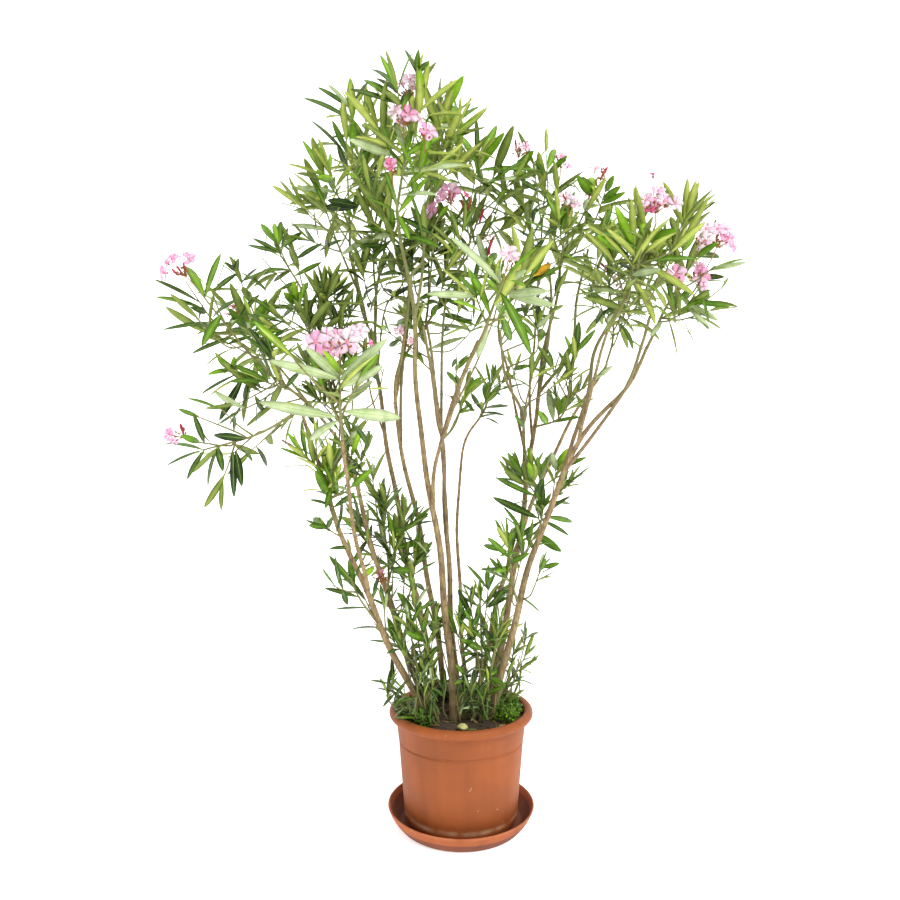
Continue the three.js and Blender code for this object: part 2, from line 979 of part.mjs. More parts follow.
const group = new THREE.Group();
group.add(
  named('saucer', saucerGeometry(), 'saucer'),
  named('pot', potGeometry(), 'terracotta'),
  named('soil', soilGeometry(), 'soil'),
  named('pebble', pebbleGeometry(), 'pebble'),
);

const ground = soilRoom();
const limbs = new Map();
for (const row of LIMBS) {
  const limb = growLimb(row, limbs, ground);
  limbs.set(row.name, limb);
  group.add(named(row.name, geometryOf(limb.solid), 'bark'));
}

const finished = [solidOf(potGeometry()), solidOf(pebbleGeometry())];
MASSES.forEach((row, index) => {
  const solid = growMass(row, index + 1, limbs, finished, ground);
  finished.push(solid);
  group.add(named(row.name, geometryOf(solid), 'foliage'));
});

export default group;
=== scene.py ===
import logging
import math
from dataclasses import dataclass, field
from enum import Enum, IntEnum
from itertools import cycle
from typing import Any, Callable, Sequence

import bpy
import numpy as np
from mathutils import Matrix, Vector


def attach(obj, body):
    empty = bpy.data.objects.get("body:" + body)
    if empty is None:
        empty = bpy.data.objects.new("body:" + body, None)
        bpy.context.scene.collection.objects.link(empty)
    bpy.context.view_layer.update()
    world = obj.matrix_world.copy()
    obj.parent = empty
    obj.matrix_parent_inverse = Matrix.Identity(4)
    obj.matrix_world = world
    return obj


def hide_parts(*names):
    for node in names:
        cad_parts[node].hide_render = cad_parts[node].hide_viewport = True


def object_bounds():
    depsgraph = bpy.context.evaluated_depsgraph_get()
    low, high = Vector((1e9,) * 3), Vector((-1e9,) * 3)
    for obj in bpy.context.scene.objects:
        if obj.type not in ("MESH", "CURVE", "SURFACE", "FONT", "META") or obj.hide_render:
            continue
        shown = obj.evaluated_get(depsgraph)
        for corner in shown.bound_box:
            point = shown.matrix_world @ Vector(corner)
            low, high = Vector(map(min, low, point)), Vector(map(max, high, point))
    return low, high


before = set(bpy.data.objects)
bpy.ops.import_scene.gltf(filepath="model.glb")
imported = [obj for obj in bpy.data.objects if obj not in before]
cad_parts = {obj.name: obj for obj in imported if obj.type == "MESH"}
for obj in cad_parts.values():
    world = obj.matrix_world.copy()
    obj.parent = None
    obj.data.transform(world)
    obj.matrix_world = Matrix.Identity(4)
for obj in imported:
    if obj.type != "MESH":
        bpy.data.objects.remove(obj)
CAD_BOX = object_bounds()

MM = 0.001
FULL_TURN = 2 * math.pi
GOLDEN_ANGLE = math.pi * (3 - math.sqrt(5))
UP = (0.0, 0.0, 1.0)
BODY = "root"
LOG = logging.getLogger("oleander")

Vec = np.ndarray


# Vectors and chance

def unit(vector: Vec) -> Vec:
    """The vector, or each row of vectors, made one long."""
    return vector / np.maximum(np.linalg.norm(vector, axis=-1, keepdims=True), 1e-9)


def square_to(direction: Vec) -> Vec:
    """A direction square to the given one, chosen as the part's source chooses it."""
    helper = UP if abs(direction[2]) < 0.9 else (1.0, 0.0, 0.0)
    return unit(np.cross(helper, direction))


def turned(vector: Vec, axis: Vec, angle: float) -> Vec:
    """The vector turned about an axis by the right-hand rule.

    Args:
        vector: What is turned.
        axis: A direction one long.
        angle: Radians.

    Returns:
        v cos a + (axis x v) sin a + axis (axis . v)(1 - cos a).
    """
    along = axis * np.dot(axis, vector) * (1 - math.cos(angle))
    return vector * math.cos(angle) + np.cross(axis, vector) * math.sin(angle) + along


def leant(axis: Vec, lean: float, turn: float) -> Vec:
    """The axis leant over by `lean` radians, towards the side that `turn` picks."""
    return axis * math.cos(lean) + turned(square_to(axis), axis, turn) * math.sin(lean)


class Dice:
    """Seeded chance: each state is the last one times a factor, plus a step, within a range.

    The same seed deals the same numbers as the part's source.
    """

    RANGE = 2**32
    SEED_FACTOR = 2654435761
    FACTOR = 1664525
    STEP = 1013904223

    def __init__(self, seed: int) -> None:
        """Starts from a whole seed."""
        self.state = (seed * self.SEED_FACTOR) % self.RANGE

    def __call__(self, low: float, high: float) -> float:
        """The next number between two limits."""
        self.state = (self.state * self.FACTOR + self.STEP) % self.RANGE
        return low + (high - low) * self.state / self.RANGE


class Path:
    """A smooth line through points (a Catmull-Rom curve), read by its share of the length."""

    DENSE = 24
    NEAR = 0.01
    TRIES = 60

    def __init__(self, points: Sequence[Sequence[float]]) -> None:
        """Works out the dense line.

        Args:
            points: The points it passes through, in millimetres.
        """
        p = np.asarray(points, float)
        q = np.vstack([2 * p[0] - p[1], p, 2 * p[-1] - p[-2]])
        t = np.linspace(0, 1, self.DENSE, endpoint=False)[:, None]
        a, b, c, d = (q[k:len(q) - 3 + k][:, None, :] for k in range(4))
        cubic = 2 * b + (c - a) * t + (2 * a - 5 * b + 4 * c - d) * t**2 + (3 * b - a - 3 * c + d) * t**3
        self.line = np.vstack([(0.5 * cubic).reshape(-1, 3), p[-1:]])
        steps = np.linalg.norm(np.diff(self.line, axis=0), axis=1)
        self.reached = np.concatenate([[0.0], np.cumsum(steps)])
        self.length = float(self.reached[-1])

    def at(self, share: Any) -> Vec:
        """The point, or one point per row, at a share of the length."""
        distance = np.asarray(share, float) * self.length
        return np.stack([np.interp(distance, self.reached, self.line[:, k]) for k in range(3)], axis=-1)

    def heading(self, share: Any) -> Vec:
        """The direction of the line at a share of its length."""
        share = np.asarray(share, float)
        return unit(self.at(np.minimum(share + self.NEAR, 1.0)) - self.at(np.maximum(share - self.NEAR, 0.0)))

    def nearest(self, point: Vec, low: float = 0.0, high: float = 1.0) -> tuple[float, float]:
        """The share of the length nearest to a point, between two shares, and the distance there.

        Args:
            point: The point.
            low: The first share looked at.
            high: The last share looked at.

        Returns:
            The share, and how far the point is from the line there.
        """
        shares = np.linspace(low, high, self.TRIES)
        far = np.linalg.norm(self.at(shares) - point, axis=1)
        return float(shares[far.argmin()]), float(far.min())


@dataclass(frozen=True)
class Sight:
    """The photograph's level camera, which turns a place in the picture and a depth into a point."""

    x: float = -27.0
    y: float = -1775.0
    z: float = 910.0
    focal: float = 720.0
    middle: float = 450.0
    sensor: float = 36.0
    width: float = 900.0

    def point(self, u: float, v: float, y: float) -> Vec:
        """The point seen at (u, v) pixels whose depth is y millimetres."""
        away = (y - self.y) / self.focal
        return np.array([self.x + (u - self.middle) * away, y, self.z + (self.middle - v) * away])

    def pixels(self, points: Vec) -> Vec:
        """Where points are seen, as rows of u and v.

        Args:
            points: Rows of x, y and z in millimetres.

        Returns:
            Rows of u and v.
        """
        away = (points[:, 1] - self.y) / self.focal
        right, up = (points[:, 0] - self.x) / away, (points[:, 2] - self.z) / away
        return np.stack([self.middle + right, self.middle - up], axis=1)

    def wide(self, pixels: float, y: float) -> float:
        """How wide in millimetres something is that looks `pixels` wide at a depth."""
        return pixels * (y - self.y) / self.focal

    def camera(self) -> None:
        """Makes the camera and gives it to the scene."""
        data = bpy.data.cameras.new("view")
        data.sensor_width = self.sensor
        data.lens = self.focal / self.width * self.sensor
        camera = bpy.data.objects.new("view", data)
        camera.location = (self.x * MM, self.y * MM, self.z * MM)
        camera.rotation_euler = (math.pi / 2, 0, 0)
        bpy.context.scene.collection.objects.link(camera)
        bpy.context.scene.camera = camera


SIGHT = Sight()


# Shader maths

class Wire:
    """A value in a material. Python's operators on it add Math nodes."""

    def __init__(self, paint: "Paint", socket: bpy.types.NodeSocket) -> None:
        """Wraps an output socket."""
        self.paint = paint
        self.socket = socket

    def _math(self, operation: str, first: Any, second: Any = 0.0, clamp: bool = False) -> "Wire":
        """One Math node on two values."""
        settings = {"operation": operation, "use_clamp": clamp}
        return self.paint.node("ShaderNodeMath", settings, {0: first, 1: second})

    def __add__(self, other: Any) -> "Wire":
        """The sum."""
        return self._math("ADD", self, other)

    __radd__ = __add__

    def __sub__(self, other: Any) -> "Wire":
        """The difference."""
        return self._math("SUBTRACT", self, other)

    def __rsub__(self, other: Any) -> "Wire":
        """The difference from a number."""
        return self._math("SUBTRACT", other, self)

    def __mul__(self, other: Any) -> "Wire":
        """The product."""
        return self._math("MULTIPLY", self, other)

    __rmul__ = __mul__

    def __truediv__(self, other: Any) -> "Wire":
        """The quotient."""
        return self._math("DIVIDE", self, other)

    def __rtruediv__(self, other: Any) -> "Wire":
        """A number divided by it."""
        return self._math("DIVIDE", other, self)

    def __pow__(self, other: Any) -> "Wire":
        """The power."""
        return self._math("POWER", self, other)

    def __abs__(self) -> "Wire":
        """Its size without its sign."""
        return self._math("ABSOLUTE", self)

    def kept(self) -> "Wire":
        """It, kept between 0 and 1."""
        return self._math("ADD", self, 0.0, clamp=True)

    def between(self, low: float, high: float) -> "Wire":
        """0 at `low` and 1 at `high`, straight between and kept beyond."""
        return ((self - low) / (high - low)).kept()


class Paint:
    """A material under way: adds nodes and joins them to the one surface shader."""

    def __init__(self, name: str) -> None:
        """Starts a material with its surface shader.

        Args:
            name: The material's name.
        """
        self.material = bpy.data.materials.new(name)
        self.material.use_nodes = True
        self.tree = self.material.node_tree
        self.shader = self.tree.nodes["Principled BSDF"]

    def feed(self, socket: bpy.types.NodeSocket, value: Any) -> None:
        """Sets a socket to a constant, or joins a wire to it.

        Args:
            socket: The input.
            value: A constant, a colour or a wire.
        """
        if isinstance(value, Wire):
            self.tree.links.new(value.socket, socket)
        elif isinstance(value, tuple) and len(value) == 3 and socket.type == "RGBA":
            socket.default_value = (*value, 1.0)
        else:
            socket.default_value = value

    def node(self, kind: str, settings: dict[str, Any] | None = None,
             values: dict[Any, Any] | None = None, output: Any = 0) -> Wire:
        """Adds a node.

        Args:
            kind: The node's type.
            settings: Its properties.
            values: A constant or a wire for each socket, by name or number.
            output: The output that is returned, by name or number.

        Returns:
            The output as a wire.
        """
        node = self.tree.nodes.new(kind)
        for key, value in (settings or {}).items():
            setattr(node, key, value)
        for key, value in (values or {}).items():
            self.feed(node.inputs[key], value)
        return Wire(self, node.outputs[output])

    def place(self) -> Wire:
        """The point in the object's own coordinates, in metres."""
        return self.node("ShaderNodeTexCoord", output="Object")

    def axes(self, vector: Wire) -> tuple[Wire, Wire, Wire]:
        """The three parts of a vector.

        Args:
            vector: The vector.

        Returns:
            Its x, y and z.
        """
        split = self.node("ShaderNodeSeparateXYZ", {}, {0: vector})
        outputs = split.socket.node.outputs
        return tuple(Wire(self, outputs[k]) for k in range(3))

    def scaled(self, vector: Wire, scale: tuple[float, float, float]) -> Wire:
        """A vector stretched along each axis."""
        return self.node("ShaderNodeMapping", {}, {"Vector": vector, "Scale": scale})

    def noise(self, vector: Wire, scale: float, detail: float = 2.0, rough: float = 0.5) -> Wire:
        """Cloudy noise between 0 and 1."""
        values = {"Vector": vector, "Scale": scale, "Detail": detail, "Roughness": rough}
        return self.node("ShaderNodeTexNoise", {"noise_dimensions": "3D"}, values)

    def spots(self, vector: Wire, scale: float) -> Wire:
        """The distance to the nearest of many scattered points."""
        return self.node("ShaderNodeTexVoronoi", {}, {"Vector": vector, "Scale": scale})

    def mix(self, share: Any, first: Any, second: Any) -> Wire:
        """Blends two colours."""
        settings = {"data_type": "RGBA", "blend_type": "MIX"}
        return self.node("ShaderNodeMix", settings, {0: share, 6: first, 7: second}, output=2)

    def attribute(self, name: str) -> Wire:
        """A number stored at the mesh's points."""
        return self.node("ShaderNodeAttribute", {"attribute_name": name}, {}, output="Fac")

    def bump(self, height: Wire, distance: float, strength: float = 1.0) -> Wire:
        """A normal leant by a height."""
        values = {"Strength": strength, "Distance": distance, "Height": height}
        return self.node("ShaderNodeBump", {}, values)

    def surface(self, **values: Any) -> bpy.types.Material:
        """Feeds the surface shader: a socket's name with _ for each space, and its value.

        Args:
            values: A constant or a wire for each socket.

        Returns:
            The finished material.
        """
        for key, value in values.items():
            self.feed(self.shader.inputs[key.replace("_", " ")], value)
        return self.material


Colour = tuple[float, float, float]


def srgb(red: float, green: float, blue: float) -> Colour:
    """A colour given as 0 to 255 on screen, as linear light."""
    shares = (c / 255 for c in (red, green, blue))
    return tuple(c / 12.92 if c <= 0.04045 else ((c + 0.055) / 1.055) ** 2.4 for c in shares)


# Finishes

@dataclass(frozen=True)
class PlasticFinish:
    """Terracotta-coloured moulded plastic, dusty, with a pale line and pale flecks, and darker low down or
    inside a dish.

    Fields: the main colour and the colour under dust; the colour of the pale line and flecks: on the pot
    limescale, on the saucer a painted highlight along the lip with pale flecks; the darker colour; the height
    in metres where the pale line lies; the height under which the colour is darker or, on a dish, the radius
    of the darker inside;
    the roughness; how high painted light lightens the outside's foot against the shade there, and its colour.
    """

    name: str
    main: Colour
    dust: Colour
    pale_marks_and_highlight: Colour
    darker_colour: Colour
    pale_line_height: float
    darker_below: float = 0.0
    inner_radius: float = 0.0
    roughness: float = 0.52
    painted_light_height: float = 0.0
    painted_light_colour: Colour = srgb(252, 186, 140)
    pale_line_half: float = 0.008

    def material(self) -> bpy.types.Material:
        """Builds the material.

        Returns:
            The finished material.
        """
        paint = Paint(self.name)
        place = paint.place()
        x, y, z = paint.axes(place)
        cloud = paint.noise(place, 9.0, 4.0, 0.6)
        streak = paint.noise(paint.scaled(place, (30.0, 30.0, 3.0)), 1.0, 3.0)
        grain = paint.noise(place, 900.0, 2.0)
        tone = (cloud.between(0.3, 0.7) * 0.6 + streak.between(0.35, 0.7) * 0.35).kept()
        colour = paint.mix(tone, self.main, self.dust)
        wander = paint.noise(place, 8.0, 2.0) * 0.006 - 0.003
        height = z + wander
        # A pale speckled line: limescale on the pot; on the saucer it runs along the lip and is a painted
        # highlight.
        near_line = 1 - (abs(height - self.pale_line_height) / self.pale_line_half).kept()
        speckle = paint.noise(place, 30.0, 3.0).between(0.3, 0.62)
        colour = paint.mix((near_line * speckle * 0.55).kept(), colour, self.pale_marks_and_highlight)
        # The colour is darker towards the bottom on the pot, and darker over the inside on a dish.
        inside: Any = 0.0
        if self.inner_radius:
            radius = (x * x + y * y) ** 0.5
            inside = 1 - radius.between(self.inner_radius - 0.002, self.inner_radius)
            darkened = (inside * (0.55 + cloud * 0.6)).kept()
        else:
            darkened = 1 - height.between(self.darker_below - 0.012, self.darker_below + 0.008)
        colour = paint.mix(darkened * 0.85, colour, self.darker_colour)
        # Painted light: the lowest band of the outside is lightened, to lift the shade under the saucer's
        # outer wall.
        if self.painted_light_height:
            foot = (1 - z.between(0.3 * self.painted_light_height, self.painted_light_height)) * (1 - inside)
            colour = paint.mix(foot * 0.9, colour, self.painted_light_colour)
        fleck = paint.spots(paint.scaled(place, (60.0, 60.0, 42.0)), 1.0)
        chip = (1 - fleck.between(0.06, 0.1)) * paint.noise(place, 6.0).between(0.52, 0.6)
        colour = paint.mix(chip * 0.6, colour, self.pale_marks_and_highlight)
        relief = grain * 0.35 + cloud * 0.4
        return paint.surface(
            Base_Color=colour,
            Roughness=(self.roughness + streak * 0.16 - darkened * 0.15).kept(),
            Specular_IOR_Level=0.3,
            Normal=paint.bump(relief, 0.0006, 0.35),
        )


@dataclass(frozen=True)
class SoilFinish:
    """Crumbly dark soil with paler dry crumbs."""

    name: str = "soil"
    moist: Colour = srgb(52, 38, 28)
    dry: Colour = srgb(112, 92, 66)

    def material(self) -> bpy.types.Material:
        """Builds the material.

        Returns:
            The finished material.
        """
        paint = Paint(self.name)
        place = paint.place()
        crumbs = paint.noise(place, 240.0, 4.0, 0.7)
        patches = paint.noise(place, 22.0, 3.0)
        share = (crumbs.between(0.45, 0.75) * 0.7 + patches.between(0.45, 0.8) * 0.5).kept()
        colour = paint.mix(share, self.moist, self.dry)
        return paint.surface(Base_Color=colour, Roughness=0.95, Normal=paint.bump(crumbs, 0.004, 0.9))


@dataclass(frozen=True)
class StoneFinish:
    """Pale stone with faint clouds."""

    name: str
    main: Colour
    shade: Colour

    def material(self) -> bpy.types.Material:
        """Builds the material.

        Returns:
            The finished material.
        """
        paint = Paint(self.name)
        place = paint.place()
        cloud = paint.noise(place, 90.0, 4.0)
        colour = paint.mix(cloud.between(0.35, 0.7), self.main, self.shade)
        return paint.surface(Base_Color=colour, Roughness=0.8, Normal=paint.bump(cloud, 0.0015, 0.6))


@dataclass(frozen=True)
class BarkFinish:
    """Smooth thin bark: tan with grey streaks and corky specks, green where it is young.

    Fields: the colours of old bark, of its lit ridges, of young bark, and of the painted shade at the foot,
    which also darkens specks and scars; the heights in metres between which the painted shade at the foot
    fades, and between which the bark turns green.
    """

    name: str
    old: Colour
    ridge: Colour
    young: Colour
    foot: Colour
    painted_shade_until: tuple[float, float]
    green_from: tuple[float, float]

    def material(self) -> bpy.types.Material:
        """Builds the material.

        Returns:
            The finished material.
        """
        paint = Paint(self.name)
        place = paint.place()
        z = paint.axes(place)[2]
        fibre = paint.noise(paint.scaled(place, (420.0, 420.0, 26.0)), 1.0, 4.0, 0.6)
        cloud = paint.noise(place, 26.0, 3.0)
        specks = 1 - paint.spots(paint.scaled(place, (330.0, 330.0, 190.0)), 1.0).between(0.12, 0.3)
        scar = paint.attribute("scar")
        lit = (fibre.between(0.35, 0.62) * 0.8 + cloud.between(0.4, 0.65) * 0.4 - 0.1).kept()
        colour = paint.mix(lit, self.old, self.ridge)
        colour = paint.mix(z.between(*self.green_from) * (0.55 + cloud * 0.6), colour, self.young)
        colour = paint.mix((specks * 0.35 + scar * 0.5).kept(), colour, self.foot)
        # Painted shade: below the given heights the bark turns to the dark foot colour.
        dark = (1 - (z + cloud * 0.06).between(*self.painted_shade_until)) * 0.85
        colour = paint.mix(dark, colour, self.foot)
        height = fibre * 0.7 + specks * 0.3 + scar * 0.4
        return paint.surface(Base_Color=colour, Roughness=0.78, Normal=paint.bump(height, 0.0012, 0.7))


@dataclass(frozen=True)
class LeafFinish:
    """A leaf or petal face: one colour dealt to the whole blade, with slow clouds and a fine grain.

    Fields: the two colours that it wanders between, its roughness, and how much light passes through.
    """

    name: str
    main: Colour
    deep: Colour
    roughness: float = 0.42
    through: float = 0.0

    def material(self) -> bpy.types.Material:
        """Builds the material.

        Returns:
            The finished material.
        """
        paint = Paint(self.name)
        place = paint.place()
        cloud = paint.noise(place, 38.0, 2.0)
        fine = paint.noise(place, 520.0, 2.0)
        colour = paint.mix(cloud.between(0.3, 0.75), self.main, self.deep)
        return paint.surface(
            Base_Color=colour,
            Roughness=(self.roughness + fine * 0.12).kept(),
            Specular_IOR_Level=0.24,
            Subsurface_Weight=self.through,
            Subsurface_Radius=(1.0, 0.75, 0.85),
            Subsurface_Scale=0.01,
            Normal=paint.bump(fine, 0.0004, 0.35),
        )


class Tint(IntEnum):
    """The faces of leaves, in the order of their materials on a leaf mesh."""

    # DEEP to BRIGHT run from dark to light: partly the leaves' own green, yellower when young, and partly
    # painted shade on leaves low on a twig or deep in the crown.
    DEEP = 0
    DARK = 1
    MID = 2
    FRESH = 3
    BRIGHT = 4
    # PALE is a painted highlight: a pale leaf with the light on it.
    PALE = 5
    YELLOW = 6
    UNDER = 7
    # UNDER_LIT is a painted-light copy of UNDER, used under the lighter leaves.
    UNDER_LIT = 8
    RIB = 9


LEAF_FINISHES: dict[Tint, LeafFinish] = {
    Tint.DEEP: LeafFinish("leaf_deep", srgb(62, 88, 38), srgb(42, 62, 30)),
    Tint.DARK: LeafFinish("leaf_dark", srgb(80, 112, 36), srgb(54, 82, 28)),
    Tint.MID: LeafFinish("leaf_mid", srgb(104, 144, 34), srgb(74, 114, 26)),
    Tint.FRESH: LeafFinish("leaf_fresh", srgb(130, 176, 30), srgb(94, 144, 24)),
    Tint.BRIGHT: LeafFinish("leaf_bright", srgb(162, 204, 44), srgb(120, 172, 28)),
    Tint.PALE: LeafFinish("leaf_pale", srgb(200, 214, 168), srgb(166, 186, 128)),
    Tint.YELLOW: LeafFinish("leaf_yellow", srgb(236, 184, 40), srgb(214, 138, 32)),
    Tint.UNDER: LeafFinish("leaf_under", srgb(144, 160, 76), srgb(114, 134, 56), 0.6),
    Tint.UNDER_LIT: LeafFinish("leaf_under_lit", srgb(190, 202, 98), srgb(158, 176, 76), 0.6),
    Tint.RIB: LeafFinish("leaf_rib", srgb(150, 176, 80), srgb(124, 154, 62), 0.5),
}


class Petal(IntEnum):
    """The faces of blossom, in the order of their materials on a blossom mesh."""

    PALE = 0
    PINK = 1
    HOT = 2
    WHITE = 3
    DRY = 4
    THROAT = 5
    CALYX = 6
    BUD = 7
    STALK = 8


PETAL_FINISHES: dict[Petal, LeafFinish] = {
    Petal.PALE: LeafFinish("petal_pale", srgb(253, 206, 230), srgb(250, 184, 220), 0.6, 0.3),
    Petal.PINK: LeafFinish("petal_pink", srgb(249, 166, 208), srgb(242, 138, 192), 0.6, 0.3),
    Petal.HOT: LeafFinish("petal_hot", srgb(242, 98, 156), srgb(230, 66, 132), 0.6, 0.3),
    Petal.WHITE: LeafFinish("petal_white", srgb(254, 236, 244), srgb(252, 218, 234), 0.6, 0.3),
    Petal.DRY: LeafFinish("petal_dry", srgb(226, 152, 166), srgb(196, 110, 112), 0.75, 0.2),
    Petal.THROAT: LeafFinish("petal_throat", srgb(252, 206, 206), srgb(236, 150, 150), 0.6),
    Petal.CALYX: LeafFinish("flower_calyx", srgb(166, 96, 54), srgb(124, 64, 44), 0.6),
    Petal.BUD: LeafFinish("flower_bud", srgb(198, 70, 92), srgb(150, 46, 56), 0.55),
    Petal.STALK: LeafFinish("flower_stalk", srgb(160, 136, 72), srgb(150, 94, 56), 0.65),
}


# Meshes

def ring_faces(rings: int, sides: int) -> Vec:
    """Triangles of a closed tube: a pole, `rings` rings of `sides` points, and a pole.

    Args:
        rings: How many rings there are.
        sides: How many points each ring has, turning with the right hand about the way along.

    Returns:
        Rows of three indices, facing outwards.
    """
    j = np.arange(sides)
    after = (j + 1) % sides
    low = (1 + np.arange(rings - 1)[:, None] * sides + j).ravel()
    low_after = (1 + np.arange(rings - 1)[:, None] * sides + after).ravel()
    last = 1 + (rings - 1) * sides
    pole = last + sides
    walls = np.concatenate([
        np.stack([low, low_after, low_after + sides], axis=1),
        np.stack([low, low_after + sides, low + sides], axis=1),
    ])
    start = np.stack([np.zeros(sides, int), 1 + after, 1 + j], axis=1)
    end = np.stack([np.full(sides, pole), last + j, last + after], axis=1)
    return np.concatenate([walls, start, end])


def tube(centres: Vec, radii: Vec, sides: int) -> tuple[Vec, Vec]:
    """A closed tube carried along a line.

    Each ring lies at centre + radius (N cos a + B sin a), where N and B are square to the line's
    direction and N is turned least from one fixed direction.

    Args:
        centres: One centre for each ring.
        radii: One radius for each ring, or one for each ring and side.
        sides: Points round a ring.

    Returns:
        The points and the triangles.
    """
    along = unit(np.gradient(centres, axis=0))
    fixed = np.eye(3)[np.abs(along.mean(axis=0)).argmin()]
    normal = unit(fixed - (along @ fixed)[:, None] * along)
    binormal = np.cross(along, normal)
    angle = np.arange(sides) * FULL_TURN / sides
    radii = np.broadcast_to(np.asarray(radii).reshape(len(centres), -1), (len(centres), sides))
    round_axis = normal[:, None] * np.cos(angle)[:, None] + binormal[:, None] * np.sin(angle)[:, None]
    rings = centres[:, None] + round_axis * radii[..., None]
    points = np.vstack([centres[:1], rings.reshape(-1, 3), centres[-1:]])
    return points, ring_faces(len(centres), sides)


def lathe(profile: Vec, sides: int) -> tuple[Vec, Vec]:
    """A solid turned about Z: each profile point (radius, height) becomes a ring.

    Args:
        profile: Points from the axis at the bottom, outwards and up, and back in to the axis.
        sides: Points round a ring.

    Returns:
        The points and the triangles.
    """
    angle = np.arange(sides) * FULL_TURN / sides
    inner = profile[1:-1]
    rings = np.stack([
        inner[:, :1] * np.cos(angle), inner[:, :1] * np.sin(angle), np.repeat(inner[:, 1:], sides, axis=1),
    ], axis=-1)
    poles = [[0.0, 0.0, profile[k, 1]] for k in (0, -1)]
    points = np.vstack([poles[:1], rings.reshape(-1, 3), poles[1:]])
    return points, ring_faces(len(inner), sides)


def rounded(corners: Sequence[tuple[float, float, float]], steps: int = 5) -> Vec:
    """A profile whose corners are rounded.

    Args:
        corners: Rows of radius, height and the rounding's reach along both sides (0 keeps it sharp).
        steps: Points on each rounding, a quadratic bow (1-t)^2 a + 2 t (1-t) b + t^2 c.

    Returns:
        Rows of radius and height.
    """
    rows = np.array([corner[:2] for corner in corners], float)
    line = [rows[:1]]
    share = np.linspace(0, 1, steps)[:, None]
    for k in range(1, len(rows) - 1):
        reach = corners[k][2]
        if reach <= 0:
            line.append(rows[k:k + 1])
            continue
        back, ahead = rows[k - 1] - rows[k], rows[k + 1] - rows[k]
        first = rows[k] + back * min(reach / np.linalg.norm(back), 0.49)
        third = rows[k] + ahead * min(reach / np.linalg.norm(ahead), 0.49)
        line.append((1 - share) ** 2 * first + 2 * share * (1 - share) * rows[k] + share**2 * third)
    return np.vstack([*line, rows[-1:]])


@dataclass
class Shape:
    """Points and triangles gathered from many pieces, with a material number for each triangle."""

    points: list[Vec] = field(default_factory=list)
    faces: list[Vec] = field(default_factory=list)
    slots: list[Vec] = field(default_factory=list)
    marks: list[Vec] = field(default_factory=list)
    count: int = 0

    def add(self, points: Vec, faces: Vec, slots: Any = 0, marks: Any = 0.0) -> None:
        """Adds a piece.

        Args:
            points: Its points in millimetres.
            faces: Its triangles.
            slots: One material number, or one for each triangle.
            marks: One number stored at every point, or one for each point.
        """
        self.points.append(points)
        self.faces.append(faces + self.count)
        self.slots.append(np.broadcast_to(slots, len(faces)))
        self.marks.append(np.broadcast_to(marks, len(points)))
        self.count += len(points)

    def piece(self, name: str, slot: str, materials: Sequence[bpy.types.Material],
              replaced: Sequence[str] = (), mark: str = "") -> bpy.types.Object:
        """Writes the mesh in metres, hangs it under the body and hides the solids that it stands for.

        Args:
            name: The piece's name.
            slot: Not used.
            materials: Its materials, by number.
            replaced: The solids that it stands for.
            mark: The name under which the stored numbers are kept, if any.

        Returns:
            The finished object.
        """
        points = np.vstack(self.points) * MM
        faces = np.vstack(self.faces).astype(np.int32)
        mesh = bpy.data.meshes.new(name)
        mesh.vertices.add(len(points))
        mesh.vertices.foreach_set("co", points.astype(np.float32).ravel())
        mesh.loops.add(faces.size)
        mesh.loops.foreach_set("vertex_index", faces.ravel())
        mesh.polygons.add(len(faces))
        mesh.polygons.foreach_set("loop_start", np.arange(len(faces), dtype=np.int32) * 3)
        for material in materials:
            mesh.materials.append(material)
        mesh.polygons.foreach_set("material_index", np.concatenate(self.slots).astype(np.int32))
        mesh.polygons.foreach_set("use_smooth", np.full(len(faces), True))
        if mark:
            stored = mesh.attributes.new(mark, "FLOAT", "POINT")
            stored.data.foreach_set("value", np.concatenate(self.marks).astype(np.float32))
        mesh.update(calc_edges=True)
        mesh.validate()
        piece = bpy.data.objects.new(name, mesh)
        bpy.context.scene.collection.objects.link(piece)
        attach(piece, BODY)
        if replaced:
            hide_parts(*replaced)
        LOG.info("%s: %d triangles", name, len(faces))
        return piece


# Blades: leaves and petals

@dataclass(frozen=True)
class Outline:
    """How a blade is cut: widest at `peak`, fuller for a small `power`, on a stalk.

    Its half-width at a share t of the length is sin(pi t^k)^power of half the width, where k puts the
    widest place at `peak`. It is never less than `stalk` up to `stalk_share`, nor than `least` beyond. The
    rib's half-width shrinks by `rib_taper` towards the tip and is at most `rib_share` of the blade's. The
    edges are folded up, and the thickness shrinks from the root.
    """

    peak: float
    power: float
    stalk: float
    stalk_share: float
    rib: float
    fold: float
    thickness: float
    stations: tuple[float, ...]
    least: float = 0.25
    rib_taper: float = 0.75
    rib_share: float = 0.34
    thick_root: float = 1.6

    def half_widths(self) -> Vec:
        """The half-width at each station, as a share of half the width.

        Returns:
            One share for each station.
        """
        t = np.array(self.stations)
        skew = math.log(0.5) / math.log(self.peak)
        return np.sin(math.pi * np.clip(t, 0, 1) ** skew) ** self.power


LEAF_OUTLINE = Outline(0.52, 0.66, 1.0, 0.07, 0.6, 0.09, 0.5,
                       (0.0, 0.05, 0.15, 0.3, 0.48, 0.66, 0.82, 0.93))
WEED_OUTLINE = Outline(0.55, 0.7, 0.4, 0.1, 0.3, 0.12, 0.25, (0.0, 0.25, 0.55, 0.82))
PETAL_OUTLINE = Outline(0.68, 0.55, 1.6, 0.1, 1.0, 0.1, 0.35, (0.0, 0.16, 0.38, 0.62, 0.84, 0.96))


